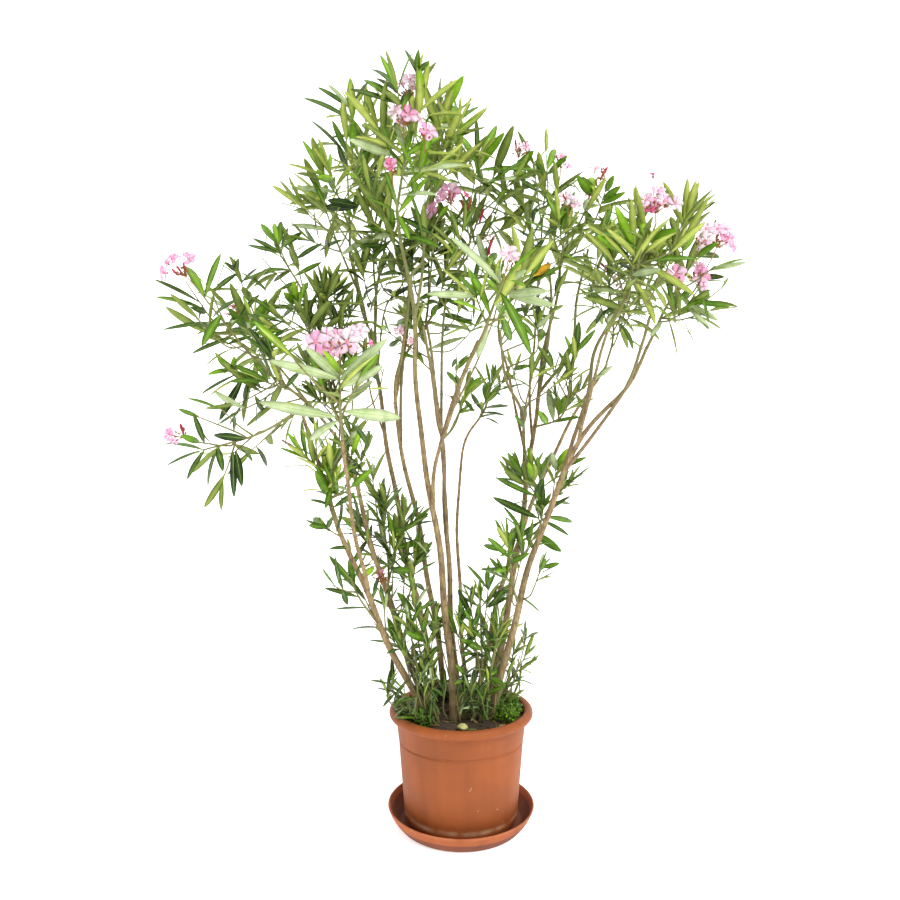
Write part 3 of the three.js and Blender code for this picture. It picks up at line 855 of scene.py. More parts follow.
class BladeBed:
    """Gathers blades of one outline and works out all their surfaces in one go.

    A blade's centre line starts along A and bends away from its upper side U by the angle b:
    c(t) = root + length (A sin(bt) / b + U (cos(bt) - 1) / b + S curl t^2), where S = A x U. Each station
    has five points: two edges, two beside the rib, and one under it.
    """

    STRIPS = ((0, 1, 0), (1, 2, 1), (2, 3, 0), (3, 4, 2), (4, 0, 2))

    def __init__(self, outline: Outline) -> None:
        """Starts an empty bed."""
        self.outline = outline
        self.rows: list[Vec] = []

    def add(self, root: Vec, along: Vec, upper: Vec, length: float, width: float, bend: float = 0.3,
            curl: float = 0.0, twist: float = 0.0, slots: tuple[int, int, int] = (0, 0, 0)) -> None:
        """Adds a blade.

        Args:
            root: Where it grows from.
            along: The way it sets out.
            upper: The way its upper side faces, square to `along`.
            length: Its length.
            width: Its greatest width.
            bend: How far it bends down, in radians.
            curl: How far its tip goes sideways, as a share of the length.
            twist: How far its tip is turned about itself, in radians.
            slots: The materials of its upper side, its rib and its under side.
        """
        self.rows.append(np.concatenate([root, along, upper, [length, width, bend, curl, twist], slots]))

    def _faces(self, stations: int) -> tuple[Vec, Vec]:
        """The triangles of one blade, and what each belongs to.

        Args:
            stations: How many stations it has before its tip.

        Returns:
            Rows of three indices, and for each 0 on the upper side, 1 on the rib or 2 on the under side.
        """
        faces, parts = [], []
        tip = stations * 5
        for k in range(stations - 1):
            for one, two, part in self.STRIPS:
                a, b, c, d = k * 5 + one, k * 5 + two, k * 5 + 5 + two, k * 5 + 5 + one
                faces += [(a, b, c), (a, c, d)]
                parts += [part, part]
        for one, two, part in self.STRIPS:
            faces.append(((stations - 1) * 5 + one, (stations - 1) * 5 + two, tip))
            parts.append(part)
        faces += [(0, 4, 1), (1, 4, 2), (2, 4, 3)]
        parts += [2, 2, 2]
        return np.array(faces), np.array(parts)

    def into(self, shape: Shape) -> None:
        """Writes every blade into a shape.

        Args:
            shape: The shape that they are added to.
        """
        rows = np.array(self.rows)
        cut = self.outline
        t = np.array([*cut.stations, 1.0])
        root, along, upper = rows[:, None, 0:3], rows[:, None, 3:6], rows[:, None, 6:9]
        side = np.cross(along, upper)
        length, width, bend, curl, twist = (rows[:, k, None, None] for k in range(9, 14))
        turn = np.where(np.abs(bend) < 1e-3, 1e-3, bend)
        step = t[None, :, None]
        centre = root + length * (
            along * np.sin(turn * step) / turn + upper * (np.cos(turn * step) - 1) / turn
            + side * curl * step**2
        )
        lifted = upper * np.cos(turn * step) + along * np.sin(turn * step)
        across = side * np.cos(twist * step) + lifted * np.sin(twist * step)
        above = lifted * np.cos(twist * step) - side * np.sin(twist * step)
        half = cut.half_widths()[None, :, None] * width / 2
        stalk = np.where(np.array(cut.stations) <= cut.stalk_share, cut.stalk, cut.least)[None, :, None]
        half = np.maximum(half, stalk)
        rib = np.minimum(cut.rib * (1 - cut.rib_taper * step[:, :-1]), half * cut.rib_share)
        body, face, edge = centre[:, :-1], above[:, :-1], across[:, :-1]
        thick = cut.thickness * (cut.thick_root - step[:, :-1])
        ring = np.stack([
            body - edge * half + face * half * cut.fold,
            body - edge * rib,
            body + edge * rib,
            body + edge * half + face * half * cut.fold,
            body - face * thick,
        ], axis=2)
        stations = len(cut.stations)
        points = np.concatenate([ring.reshape(len(rows), stations * 5, 3), centre[:, -1:]], axis=1)
        faces, parts = self._faces(stations)
        size = stations * 5 + 1
        every = (faces[None] + (np.arange(len(rows)) * size)[:, None, None]).reshape(-1, 3)
        shape.add(points.reshape(-1, 3), every, rows[:, 14:17].astype(int)[:, parts].ravel())


# The plant's plan, as in the part's source

Start = tuple[str, float] | tuple[float, float]
Place = tuple[float, float, float]


@dataclass(frozen=True)
class Limb:
    """A stem from a place on the soil, or a bough from a share of an earlier limb."""

    name: str
    start: Start
    through: tuple[Place, ...]
    radii: tuple[float, float]


@dataclass(frozen=True)
class Fork:
    """A bare branch too thin for the solids: from a place on a limb, through picture points."""

    limb: str
    at: float
    through: tuple[Place, ...]
    radii: tuple[float, float]


@dataclass(frozen=True)
class Mass:
    """One mass of foliage, as in the part's source, and how the scene fills it.

    Fields: its name; where it grows from; its hub, its leading tip and how far it reaches round the line
    between them; how many twigs the rule grows, the whorls and the leaf length on them, and their tint;
    how many finer twigs each twig bears; whether its leading twig flowers; the share of leaves kept.
    """

    name: str
    start: Start
    hub: Place
    lead: Place
    reach: float
    shoots: int
    whorls: int
    leaf: float
    tint: float
    finer: int = 0
    flowering: bool = False
    kept: float = 1.0

    @property
    def solid(self) -> str:
        """The name of its solid in the frame."""
        return solid_of(self.name)


def solid_of(mass: str) -> str:
    """The name of the solid that stands for a mass."""
    return f"{mass}_leaves"


@dataclass(frozen=True)
class Shoot:
    """A shoot seen in the photograph: a row of SHOOTS."""

    tip_u: float
    tip_v: float
    foot_u: float
    foot_v: float
    depth: float
    leaf: float
    whorls: int
    tint: float
    flowering: bool = False


class Part(Enum):
    """The meshes that the foliage is joined into, and the word that their names begin with."""

    LEFT = "left"
    UPPER = "upper"
    CENTRE = "centre"
    RIGHT = "right"
    LOW = "low"


# The soil's level and how deep the stems stand in it, the seeds of each draw, and how limbs are thinned:
# the share and length of the flare at a root, the share of the solids' radius, and the least radius
SOIL_TOP = 262.0
BURIED = 8.0
FINER_SEED, LEAF_SEED, HEAD_SEED = 500, 900, 1300
WEED_SEED, LITTER_SEED = 31, 77
ROOT_FLARE = (0.15, 28.0)
SLIMMER = 0.75
THINNEST = 3.0

LIMBS = (
    Limb("left_outer_stem", (-80, -32), ((-185, -90, 490), (-290, -140, 765), (-355, -190, 1000)), (12, 4.5)),
    Limb("left_inner_stem", (-75, 2), ((-180, 10, 540), (-285, 20, 905)), (12.5, 6)),
    Limb("back_left_stem", (-50, 80), ((-155, 150, 690), (-245, 190, 1230)), (12, 6)),
    Limb("back_centre_stem", (-35, 112),
         ((-95, 118, 635), (-170, 100, 1015), (-145, 60, 1165), (-130, 30, 1325)), (11, 4.5)),
    Limb("centre_stem", (-15, -40),
         ((-50, -60, 650), (-100, -90, 980), (-110, -110, 1210), (-145, -180, 1440)), (13, 4.5)),
    Limb("middle_stem", (-8, 36), ((-32, 50, 630), (-50, 75, 960), (-90, 120, 1250)), (11, 4.5)),
    Limb("thin_stem", (18, 82), ((-5, 150, 615), (5, 200, 895), (65, 205, 1015)), (8, 4)),
    Limb("right_outer_stem", (75, -8),
         ((165, -50, 635), (275, -100, 930), (385, -130, 1065), (450, -110, 1190)), (13, 4.5)),
    Limb("right_thick_stem", (70, 66),
         ((140, 115, 580), (190, 145, 915), (225, 130, 1185), (260, 110, 1340)), (13, 4.5)),
    Limb("right_rear_stem", (42, 118), ((125, 195, 565), (280, 270, 925), (420, 290, 1150)), (10, 5)),
    Limb("front_branch", ("left_outer_stem", 0.42), ((-235, -270, 790), (-230, -415, 930)), (6.5, 4.5)),
    Limb("left_middle_bough", ("left_inner_stem", 1.0), ((-365, -10, 1015), (-465, -50, 1095)), (5.5, 4)),
    Limb("left_high_bough", ("left_inner_stem", 0.9), ((-325, 60, 1075), (-390, 80, 1280)), (5, 4)),
    Limb("upper_left_bough", ("back_left_stem", 1.0), ((-275, 175, 1325), (-295, 150, 1430)), (5.5, 4)),
    Limb("upper_back_bough", ("back_left_stem", 0.95), ((-235, 240, 1340), (-245, 280, 1480)), (5, 4)),
    Limb("crossing_bough", ("back_centre_stem", 0.72), ((-150, 150, 1150), (-60, 190, 1300)), (5.5, 4)),
    Limb("centre_right_bough", ("centre_stem", 0.8), ((-90, -60, 1340), (-95, -20, 1475)), (5, 4)),
    Limb("near_branch", ("centre_stem", 0.43),
         ((-55, -130, 900), (-5, -230, 1045), (48, -315, 1165)), (6.5, 4)),
    Limb("right_bright_bough", ("right_outer_stem", 0.68), ((295, -155, 1070), (315, -205, 1165)), (6, 4)),
    Limb("right_back_bough", ("right_thick_stem", 0.63), ((190, 205, 1045), (210, 250, 1200)), (5.5, 4)),
    Limb("right_inner_bough", ("right_thick_stem", 0.55), ((140, 110, 1050), (100, 80, 1190)), (5.5, 4)),
)

FORKS = (
    Fork("left_outer_stem", 0.8, ((318, 470, -170), (300, 452, -160), (282, 440, -150)), (3.2, 2.4)),
    Fork("back_left_stem", 0.86, ((366, 316, 160), (358, 285, 120), (351, 255, 90)), (4.2, 3)),
    Fork("back_left_stem", 0.9, ((376, 296, 150), (382, 262, 100), (386, 235, 60)), (4, 3)),
    Fork("back_centre_stem", 0.62, ((402, 372, 130), (408, 326, 150), (411, 290, 160)), (4.4, 3)),
    Fork("centre_stem", 0.84, ((412, 275, -90), (422, 262, -60), (424, 238, -40)), (4, 3)),
    Fork("back_left_stem", 0.87, ((384, 312, 150), (402, 285, 120), (412, 262, 90)), (2.8, 1.8)),
    Fork("near_branch", 0.5, ((475, 365, -180), (492, 325, -220), (497, 306, -240)), (2.6, 1.8)),
    Fork("back_left_stem", 0.7, ((372, 400, 160), (368, 366, 140), (366, 330, 120)), (2.8, 2)),
    Fork("middle_stem", 0.42, ((443, 449, 20), (437, 420, 0), (431, 367, -10), (423, 326, -20)), (5, 3.2)),
    Fork("middle_stem", 0.52, ((441, 405, 100), (443, 335, 130), (446, 290, 150)), (4.4, 3)),
    Fork("near_branch", 0.35, ((452, 405, -130), (466, 366, -150), (478, 340, -160)), (4, 2.8)),
    Fork("right_thick_stem", 0.5, ((522, 417, 100), (508, 385, 60), (503, 360, 20), (500, 330, -10)),
         (4.6, 3)),
    Fork("right_thick_stem", 0.74, ((570, 350, 150), (577, 301, 170), (588, 250, 180)), (4.6, 3.2)),
    Fork("right_thick_stem", 0.72, ((548, 340, 110), (552, 300, 90), (548, 262, 70)), (4.4, 3)),
    Fork("right_outer_stem", 0.5, ((585, 405, -60), (594, 352, -30), (619, 308, 0), (634, 262, 20)),
         (5.6, 3.4)),
    Fork("right_outer_stem", 0.62, ((622, 395, -140), (641, 345, -150), (650, 316, -150)), (4.6, 3.2)),
)

# The masses of foliage, in the order of the plan, by the mesh that their leaves are joined into
MASSES: dict[Part, tuple[Mass, ...]] = {
    Part.LEFT: (
        Mass("far_left", ("left_middle_bough", 1), (-530, -60, 1170), (-625, -85, 1295), 150, 3, 3, 135, 2.4,
             flowering=True, kept=0.22),
        Mass("left_middle", ("left_middle_bough", 0.55), (-480, 30, 1150), (-560, 80, 1250), 170, 3, 3, 130,
             2.0, flowering=True, kept=0.82),
        Mass("left_inner", ("left_middle_bough", 0.3), (-385, -50, 1040), (-460, -110, 1070), 165, 3, 2, 130,
             1.4, kept=0.42),
        Mass("left_upper", ("left_high_bough", 1), (-420, 100, 1340), (-475, 130, 1425), 130, 3, 2, 105, 2.4,
             kept=0.52),
        Mass("left_shoulder", ("left_high_bough", 0.45), (-360, 10, 1155), (-375, -30, 1230), 165, 3, 2, 130,
             1.6, finer=1),
        Mass("low_left", ("left_outer_stem", 1), (-445, -205, 945), (-560, -220, 910), 150, 3, 2, 120, 1.4,
             kept=0.2),
        Mass("left_tuft", ("left_outer_stem", 0.66), (-295, -170, 815), (-285, -190, 890), 125, 2, 2, 110,
             2.9, finer=1),
        Mass("left_side", ("left_outer_stem", 0.33), (-235, -110, 565), (-255, -130, 620), 110, 2, 2, 100,
             1.8, kept=0.48),
        Mass("left_low", ("left_inner_stem", 0.45), (-185, 60, 630), (-205, 70, 780), 140, 3, 2, 110, 1.6,
             finer=1),
        Mass("front", ("front_branch", 1), (-230, -440, 975), (-230, -460, 1070), 170, 2, 3, 150, 3.0,
             flowering=True, kept=0.3),
    ),
    Part.UPPER: (
        Mass("upper_left", ("upper_left_bough", 1), (-295, 145, 1510), (-305, 150, 1750), 185, 4, 3, 150,
             3.0, kept=0.75),
        Mass("upper_left_side", ("upper_left_bough", 0.6), (-325, 110, 1460), (-355, 80, 1555), 165, 3, 2,
             135, 2.2, kept=0.48),
        Mass("upper_back", ("upper_back_bough", 1), (-255, 310, 1590), (-240, 340, 1805), 190, 3, 3, 150,
             2.6, finer=1, flowering=True),
        Mass("centre_back", ("back_centre_stem", 1), (-155, 40, 1385), (-190, 80, 1515), 180, 3, 2, 155, 2.2),
        Mass("top", ("centre_stem", 1), (-135, -200, 1490), (-110, -205, 1650), 158, 4, 3, 138, 3.1,
             flowering=True, kept=0.85),
        Mass("centre_crown", ("centre_right_bough", 1), (-75, -10, 1545), (-30, 0, 1700), 165, 4, 3, 140,
             3.0, flowering=True, kept=0.85),
    ),
    Part.CENTRE: (
        Mass("centre_right", ("crossing_bough", 1), (5, 175, 1420), (105, 160, 1685), 190, 5, 2, 145, 2.8,
             flowering=True, kept=0.76),
        Mass("near", ("near_branch", 1), (55, -330, 1185), (75, -340, 1240), 175, 3, 3, 150, 3.2,
             flowering=True, kept=0.4),
        Mass("centre_inner", ("middle_stem", 1), (-85, 165, 1320), (-85, 200, 1485), 180, 3, 2, 150, 1.8),
        Mass("middle_right", ("middle_stem", 0.68), (-15, 85, 975), (15, 90, 1060), 110, 1, 3, 100, 2.2),
        Mass("middle_far", ("thin_stem", 1), (75, 210, 1040), (90, 215, 1100), 115, 2, 2, 100, 2.3),
        Mass("right_inner", ("right_inner_bough", 1), (100, 80, 1250), (135, 90, 1395), 170, 2, 3, 130, 2.2,
             finer=1, kept=0.65),
    ),
    Part.RIGHT: (
        Mass("right_centre", ("right_back_bough", 1), (220, 265, 1350), (245, 275, 1675), 175, 4, 2, 140,
             2.8, flowering=True, kept=0.85),
        Mass("right_crown", ("right_thick_stem", 1), (265, 100, 1400), (345, 100, 1575), 165, 4, 2, 135, 3.0,
             flowering=True, kept=0.82),
        Mass("right_rear", ("right_rear_stem", 1), (445, 305, 1255), (430, 330, 1450), 175, 3, 2, 140, 2.0,
             flowering=True),
        Mass("right_flowering", ("right_bright_bough", 1), (350, -220, 1235), (415, -230, 1395), 155, 4, 3,
             135, 3.2, flowering=True),
        Mass("far_right", ("right_outer_stem", 1), (470, -110, 1235), (540, -115, 1355), 145, 4, 3, 130, 2.9,
             flowering=True, kept=0.55),
    ),
    Part.LOW: (
        Mass("right_lower", ("right_thick_stem", 0.66), (260, 60, 1000), (280, 50, 1115), 135, 3, 2, 110,
             2.2, finer=1, kept=0.65),
        Mass("right_middle", ("right_thick_stem", 0.52), (165, 90, 990), (185, 60, 1110), 135, 2, 2, 115,
             2.0, kept=0.8),
        Mass("right_low", ("right_thick_stem", 0.38), (205, 70, 720), (200, 50, 845), 140, 3, 2, 110, 2.0,
             finer=1, kept=0.8),
        Mass("right_low_front", ("right_outer_stem", 0.28), (120, -55, 600), (110, -60, 695), 125, 2, 2, 105,
             1.9, finer=1),
        Mass("base_left", (-108, -62), (-105, -75, 385), (-125, -80, 505), 120, 3, 2, 100, 1.8, finer=1),
        Mass("base_centre", (45, -45), (50, -45, 385), (45, -50, 550), 130, 3, 3, 105, 2.4, finer=2,
             kept=0.8),
        Mass("base_right", (112, 50), (120, 55, 315), (135, 50, 405), 115, 3, 2, 90, 1.9, finer=1, kept=0.65),
    ),
}

def low_shoots(*tips: Place) -> tuple[tuple, ...]:
    """Rows of SHOOTS for short shoots that fill the foot, whose sizes follow a cycle of five.

    Args:
        tips: The tip in picture pixels and the depth of each.

    Returns:
        The rows: the foot lies a step right and down of the tip, and each shoot has four whorls.
    """
    steps = cycle(((-3, 22, 72, 0.8), (2, 18, 62, 1.8), (4, 24, 78, 0.4), (-2, 16, 66, 1.2),
                   (0, 20, 70, 2.2)))
    return tuple((u, v, u + right, v + down, depth, leaf, 4, tint)
                 for (u, v, depth), (right, down, leaf, tint) in zip(tips, steps))


def narrowed(rows: Sequence[tuple[float, ...]]) -> tuple[tuple[float, ...], ...]:
    """Rows of SEEN for leaves in the shade: 0.72 as wide, but at least 3 pixels, and no lighter than MID."""
    return tuple((*ends, max(3, round(0.72 * width, 1)), min(tint, Tint.MID)) for *ends, width, tint in rows)


# Shoots seen in the photograph, by mass. A row is the tip and the foot in picture pixels, the depth from
# the mass's hub, the length of its leaves, its whorls, its tint, and whether it flowers.
SHOOTS: dict[str, tuple[tuple, ...]] = {
    "far_left": (
        (194, 314, 216, 338, 20, 95, 4, 2.2), (196, 318, 226, 346, -60, 95, 4, 1.6),
        (186, 282, 214, 322, 60, 110, 5, 3.2)),
    "left_middle": (
        (237, 272, 262, 334, 60, 115, 6, 1.0), (251, 316, 272, 350, -40, 95, 5, 3.2),
        (222, 340, 258, 358, -20, 100, 5, 1.4)),
    "left_inner": (
        (222, 362, 262, 388, 20, 110, 5, 3.0), (238, 404, 268, 388, -20, 130, 4, 0.6),
        (268, 348, 286, 386, 30, 105, 5, 1.6), (268, 404, 300, 394, 20, 110, 5, 1.2),
        (286, 422, 308, 404, 0, 100, 5, 1.4)),
    "left_upper": (
        (294, 250, 306, 300, 40, 100, 6, 2.4), (262, 258, 296, 296, -30, 95, 5, 1.8)),
    "left_shoulder": (
        (297, 304, 314, 346, -20, 95, 5, 3.0), (336, 290, 326, 344, 40, 105, 5, 2.0),
        (322, 372, 334, 410, 30, 100, 5, 2.2), (306, 362, 324, 402, -10, 100, 5, 1.6),
        (352, 368, 352, 410, 20, 95, 5, 2.0), (340, 330, 340, 372, 0, 95, 5, 1.8),
        (356, 304, 362, 336, 30, 90, 5, 2.0), (346, 356, 330, 392, 0, 110, 5, 1.6),
        (374, 348, 366, 384, 60, 100, 5, 1.6), (384, 368, 374, 402, 40, 95, 5, 1.4),
        (364, 362, 350, 398, 10, 105, 5, 1.4), (328, 392, 336, 424, 20, 100, 5, 1.4),
        (316, 396, 330, 428, 0, 100, 5, 1.6), (322, 298, 318, 338, 20, 115, 6, 1.8),
        (340, 312, 328, 350, -10, 110, 6, 2.0)),
    "low_left": (
        (189, 441, 228, 446, -10, 85, 4, 1.8, True), (228, 458, 256, 434, 10, 120, 5, 0.8),
        (250, 452, 276, 428, 50, 105, 4, 1.2), (196, 416, 236, 432, -40, 100, 4, 2.0)),
    "left_tuft": (
        (326, 466, 330, 500, 20, 85, 4, 3.4), (354, 440, 346, 486, 0, 75, 3, 3.0),
        (325, 526, 338, 540, 0, 75, 2, 1.6), (368, 420, 366, 462, 30, 75, 5, 1.8),
        (352, 428, 344, 470, 0, 95, 6, 1.8), (366, 446, 352, 486, 20, 90, 6, 1.6),
        (340, 416, 338, 460, 30, 90, 5, 2.0)),
    "left_side": (
        (362, 592, 366, 622, 10, 80, 4, 2.2), (350, 548, 358, 575, 0, 65, 1, 1.6),
        (384, 604, 376, 636, 40, 85, 6, 1.6), (374, 622, 382, 650, 10, 80, 5, 1.4)),
    "left_low": (
        (394, 548, 392, 596, -30, 90, 5, 2.2), (381, 590, 386, 612, -60, 60, 3, 1.6, True),
        (415, 560, 408, 600, 0, 85, 3, 2.4), (372, 474, 380, 530, 20, 95, 6, 1.8),
        (386, 500, 390, 548, -20, 95, 6, 1.6), (400, 530, 398, 580, 30, 90, 5, 1.6),
        (366, 540, 376, 585, -40, 85, 5, 1.2), (406, 558, 402, 604, 0, 95, 6, 1.6),
        (418, 546, 410, 592, 20, 95, 6, 1.4)),
    "front": (
        (322, 384, 338, 420, -10, 110, 4, 2.6), (360, 376, 342, 416, 20, 120, 5, 3.2)),
    "upper_left": (
        (367, 116, 360, 160, 20, 105, 5, 3.2), (328, 164, 344, 214, -30, 110, 6, 3.6),
        (318, 190, 342, 232, 30, 120, 5, 2.6), (353, 104, 352, 160, 10, 115, 4, 3.2)),
    "upper_left_side": (
        (304, 206, 332, 236, -20, 125, 5, 2.8), (308, 240, 334, 250, 20, 110, 4, 1.2),
        (358, 206, 344, 240, -50, 105, 5, 0.9)),
    "upper_back": (
        (390, 130, 380, 180, -30, 115, 6, 2.4),),
    "centre_back": (
        (392, 232, 398, 266, -40, 120, 5, 2.2), (372, 222, 394, 258, 30, 125, 5, 1.6),
        (374, 250, 384, 290, 20, 110, 6, 1.6), (362, 266, 372, 304, -20, 105, 5, 1.4)),
    "top": (
        (420, 104, 410, 156, -20, 135, 6, 3.6), (403, 134, 404, 168, -50, 110, 4, 3.0, True),
        (425, 151, 415, 182, -70, 100, 4, 3.0, True), (393, 185, 398, 212, -60, 95, 3, 2.2, True),
        (417, 74, 414, 120, 20, 85, 3, 3.0)),
    "centre_crown": (
        (446, 118, 438, 164, 30, 120, 6, 3.2), (460, 122, 446, 166, -40, 115, 6, 3.4),
        (432, 168, 432, 200, 60, 120, 5, 2.0), (440, 214, 440, 246, 0, 115, 6, 1.8),
        (424, 234, 430, 262, 20, 110, 6, 1.6), (464, 226, 452, 258, 0, 110, 6, 1.8)),
    "centre_right": (
        (477, 166, 468, 222, -60, 125, 6, 2.8), (451, 208, 456, 246, -150, 95, 3, 2.2, True),
        (516, 168, 490, 216, 20, 110, 5, 2.6, True), (504, 190, 486, 236, -40, 115, 5, 2.2),
        (490, 256, 474, 284, -60, 110, 4, 1.8, True), (472, 214, 468, 254, 20, 110, 6, 2.0),
        (482, 234, 474, 270, 0, 105, 6, 1.6)),
    "near": (
        (505, 312, 492, 328, 10, 80, 4, 3.8), (476, 296, 488, 322, 30, 125, 4, 2.6)),
    "centre_inner": (
        (407, 346, 415, 372, -100, 80, 3, 1.8, True), (446, 268, 436, 312, -40, 120, 5, 2.0),
        (466, 300, 446, 330, -20, 115, 5, 1.6), (476, 326, 452, 350, -20, 90, 2, 1.8),
        (408, 318, 404, 350, -60, 90, 4, 1.8), (385, 330, 390, 366, 20, 70, 2, 2.8),
        (412, 250, 416, 292, -60, 115, 6, 1.8), (432, 246, 430, 290, -90, 115, 6, 2.0),
        (402, 264, 406, 302, 0, 110, 6, 1.4)),
    "middle_right": (
        (463, 402, 458, 432, -20, 70, 5, 2.6), (457, 350, 456, 392, 0, 80, 4, 2.2)),
    "middle_far": (
        (486, 398, 484, 420, -20, 75, 5, 2.6),),
    "right_inner": (
        (520, 286, 506, 330, 20, 110, 5, 2.2), (496, 276, 502, 322, -40, 105, 5, 2.6),
        (534, 304, 510, 336, 40, 105, 4, 1.6), (556, 290, 540, 332, 20, 100, 5, 2.0),
        (537, 322, 536, 352, 20, 85, 3, 2.2)),
    "right_centre": (
        (533, 158, 540, 214, -30, 115, 6, 2.8), (560, 176, 552, 226, -60, 110, 5, 2.6, True),
        (530, 232, 540, 276, 20, 120, 5, 2.0), (546, 150, 548, 200, 0, 115, 6, 2.8),
        (520, 196, 532, 240, 20, 115, 5, 2.2)),
    "right_crown": (
        (568, 216, 562, 256, -60, 100, 4, 2.4, True), (590, 202, 576, 250, -30, 120, 6, 3.6),
        (608, 184, 592, 226, 30, 105, 5, 2.6, True), (552, 226, 560, 268, 40, 115, 5, 2.2),
        (604, 236, 590, 276, 20, 115, 6, 2.6)),
    "right_rear": (
        (632, 260, 620, 316, -20, 120, 5, 1.8, True), (590, 276, 608, 326, 20, 120, 5, 1.6),
        (646, 290, 622, 328, 10, 115, 5, 1.6), (612, 262, 608, 312, 0, 120, 6, 2.0),
        (628, 304, 616, 340, -30, 105, 6, 1.8)),
    "right_flowering": (
        (634, 246, 630, 292, -20, 130, 5, 3.6), (688, 212, 664, 260, 20, 110, 5, 2.8),
        (612, 254, 624, 296, 40, 115, 5, 2.6), (690, 212, 672, 252, 20, 105, 5, 2.8),
        (640, 216, 646, 256, 20, 105, 5, 2.4), (662, 264, 648, 302, 10, 115, 6, 2.8),
        (644, 262, 636, 308, 40, 120, 6, 2.4), (676, 246, 658, 284, 40, 110, 5, 3.0)),
    "far_right": (
        (712, 258, 690, 296, 20, 105, 5, 3.0, True), (698, 290, 678, 316, -30, 95, 4, 2.6, True),
        (679, 292, 674, 318, -60, 80, 3, 2.4, True), (722, 288, 688, 312, 50, 110, 5, 2.4),
        (712, 310, 680, 320, -10, 100, 4, 2.0), (686, 222, 682, 262, 0, 100, 4, 2.6)),
    "right_lower": (
        (576, 352, 568, 398, -20, 90, 5, 2.6), (556, 396, 562, 420, 20, 80, 4, 2.2)),
    "right_middle": (
        (542, 370, 528, 404, 20, 95, 5, 2.2), (512, 366, 520, 396, 20, 80, 3, 2.0)),
    "right_low": (
        (532, 466, 538, 514, -20, 90, 5, 2.6), (514, 524, 532, 552, -40, 80, 4, 2.2),
        (556, 470, 550, 510, 10, 80, 4, 2.4)),
    "right_low_front": (
        (522, 556, 512, 600, 20, 75, 5, 2.4), (542, 566, 530, 596, 0, 70, 3, 1.8)),
    "base_left": (
        (414, 600, 420, 650, 20, 75, 6, 1.8), (428, 645, 424, 684, -20, 70, 5, 1.2),
        *low_shoots((396, 668, -10), (404, 682, -30), (412, 660, 20), (420, 678, -40), (428, 662, 0),
            (434, 680, -20), (424, 692, -30), (408, 694, -10), (390, 684, 10), (416, 698, -50)),
        (412, 574, 416, 620, 20, 75, 4, 1.6), (400, 640, 412, 684, 0, 80, 9, 0.8),
        (436, 618, 430, 668, 30, 85, 9, 1.0), (424, 664, 428, 690, -20, 75, 9, 0.6)),
    "base_centre": (
        (488, 590, 482, 650, 20, 85, 9, 2.6), (474, 632, 480, 680, -30, 80, 9, 2.2),
        (496, 650, 486, 690, 10, 70, 9, 1.4),
        *low_shoots((446, 686, -30), (462, 674, 0), (470, 690, -40), (478, 664, 20), (488, 682, -20),
            (496, 694, -30), (482, 698, -50), (456, 696, -40), (464, 700, 20), (492, 668, 40)),
        (458, 640, 466, 684, 0, 80, 9, 1.2), (440, 640, 452, 690, 20, 85, 9, 0.6),
        (500, 620, 490, 676, -20, 85, 9, 0.8), (470, 600, 476, 656, 0, 90, 9, 0.6),
        (510, 668, 500, 694, 10, 70, 9, 0.8), (452, 670, 460, 700, -20, 70, 9, 0.4)),
    "base_right": (
        (520, 655, 512, 686, -20, 65, 5, 1.4),
        *low_shoots((506, 684, 0), (514, 694, -20), (500, 674, 20), (520, 678, 10)),
        (526, 638, 520, 662, 0, 60, 2, 1.2)),
}


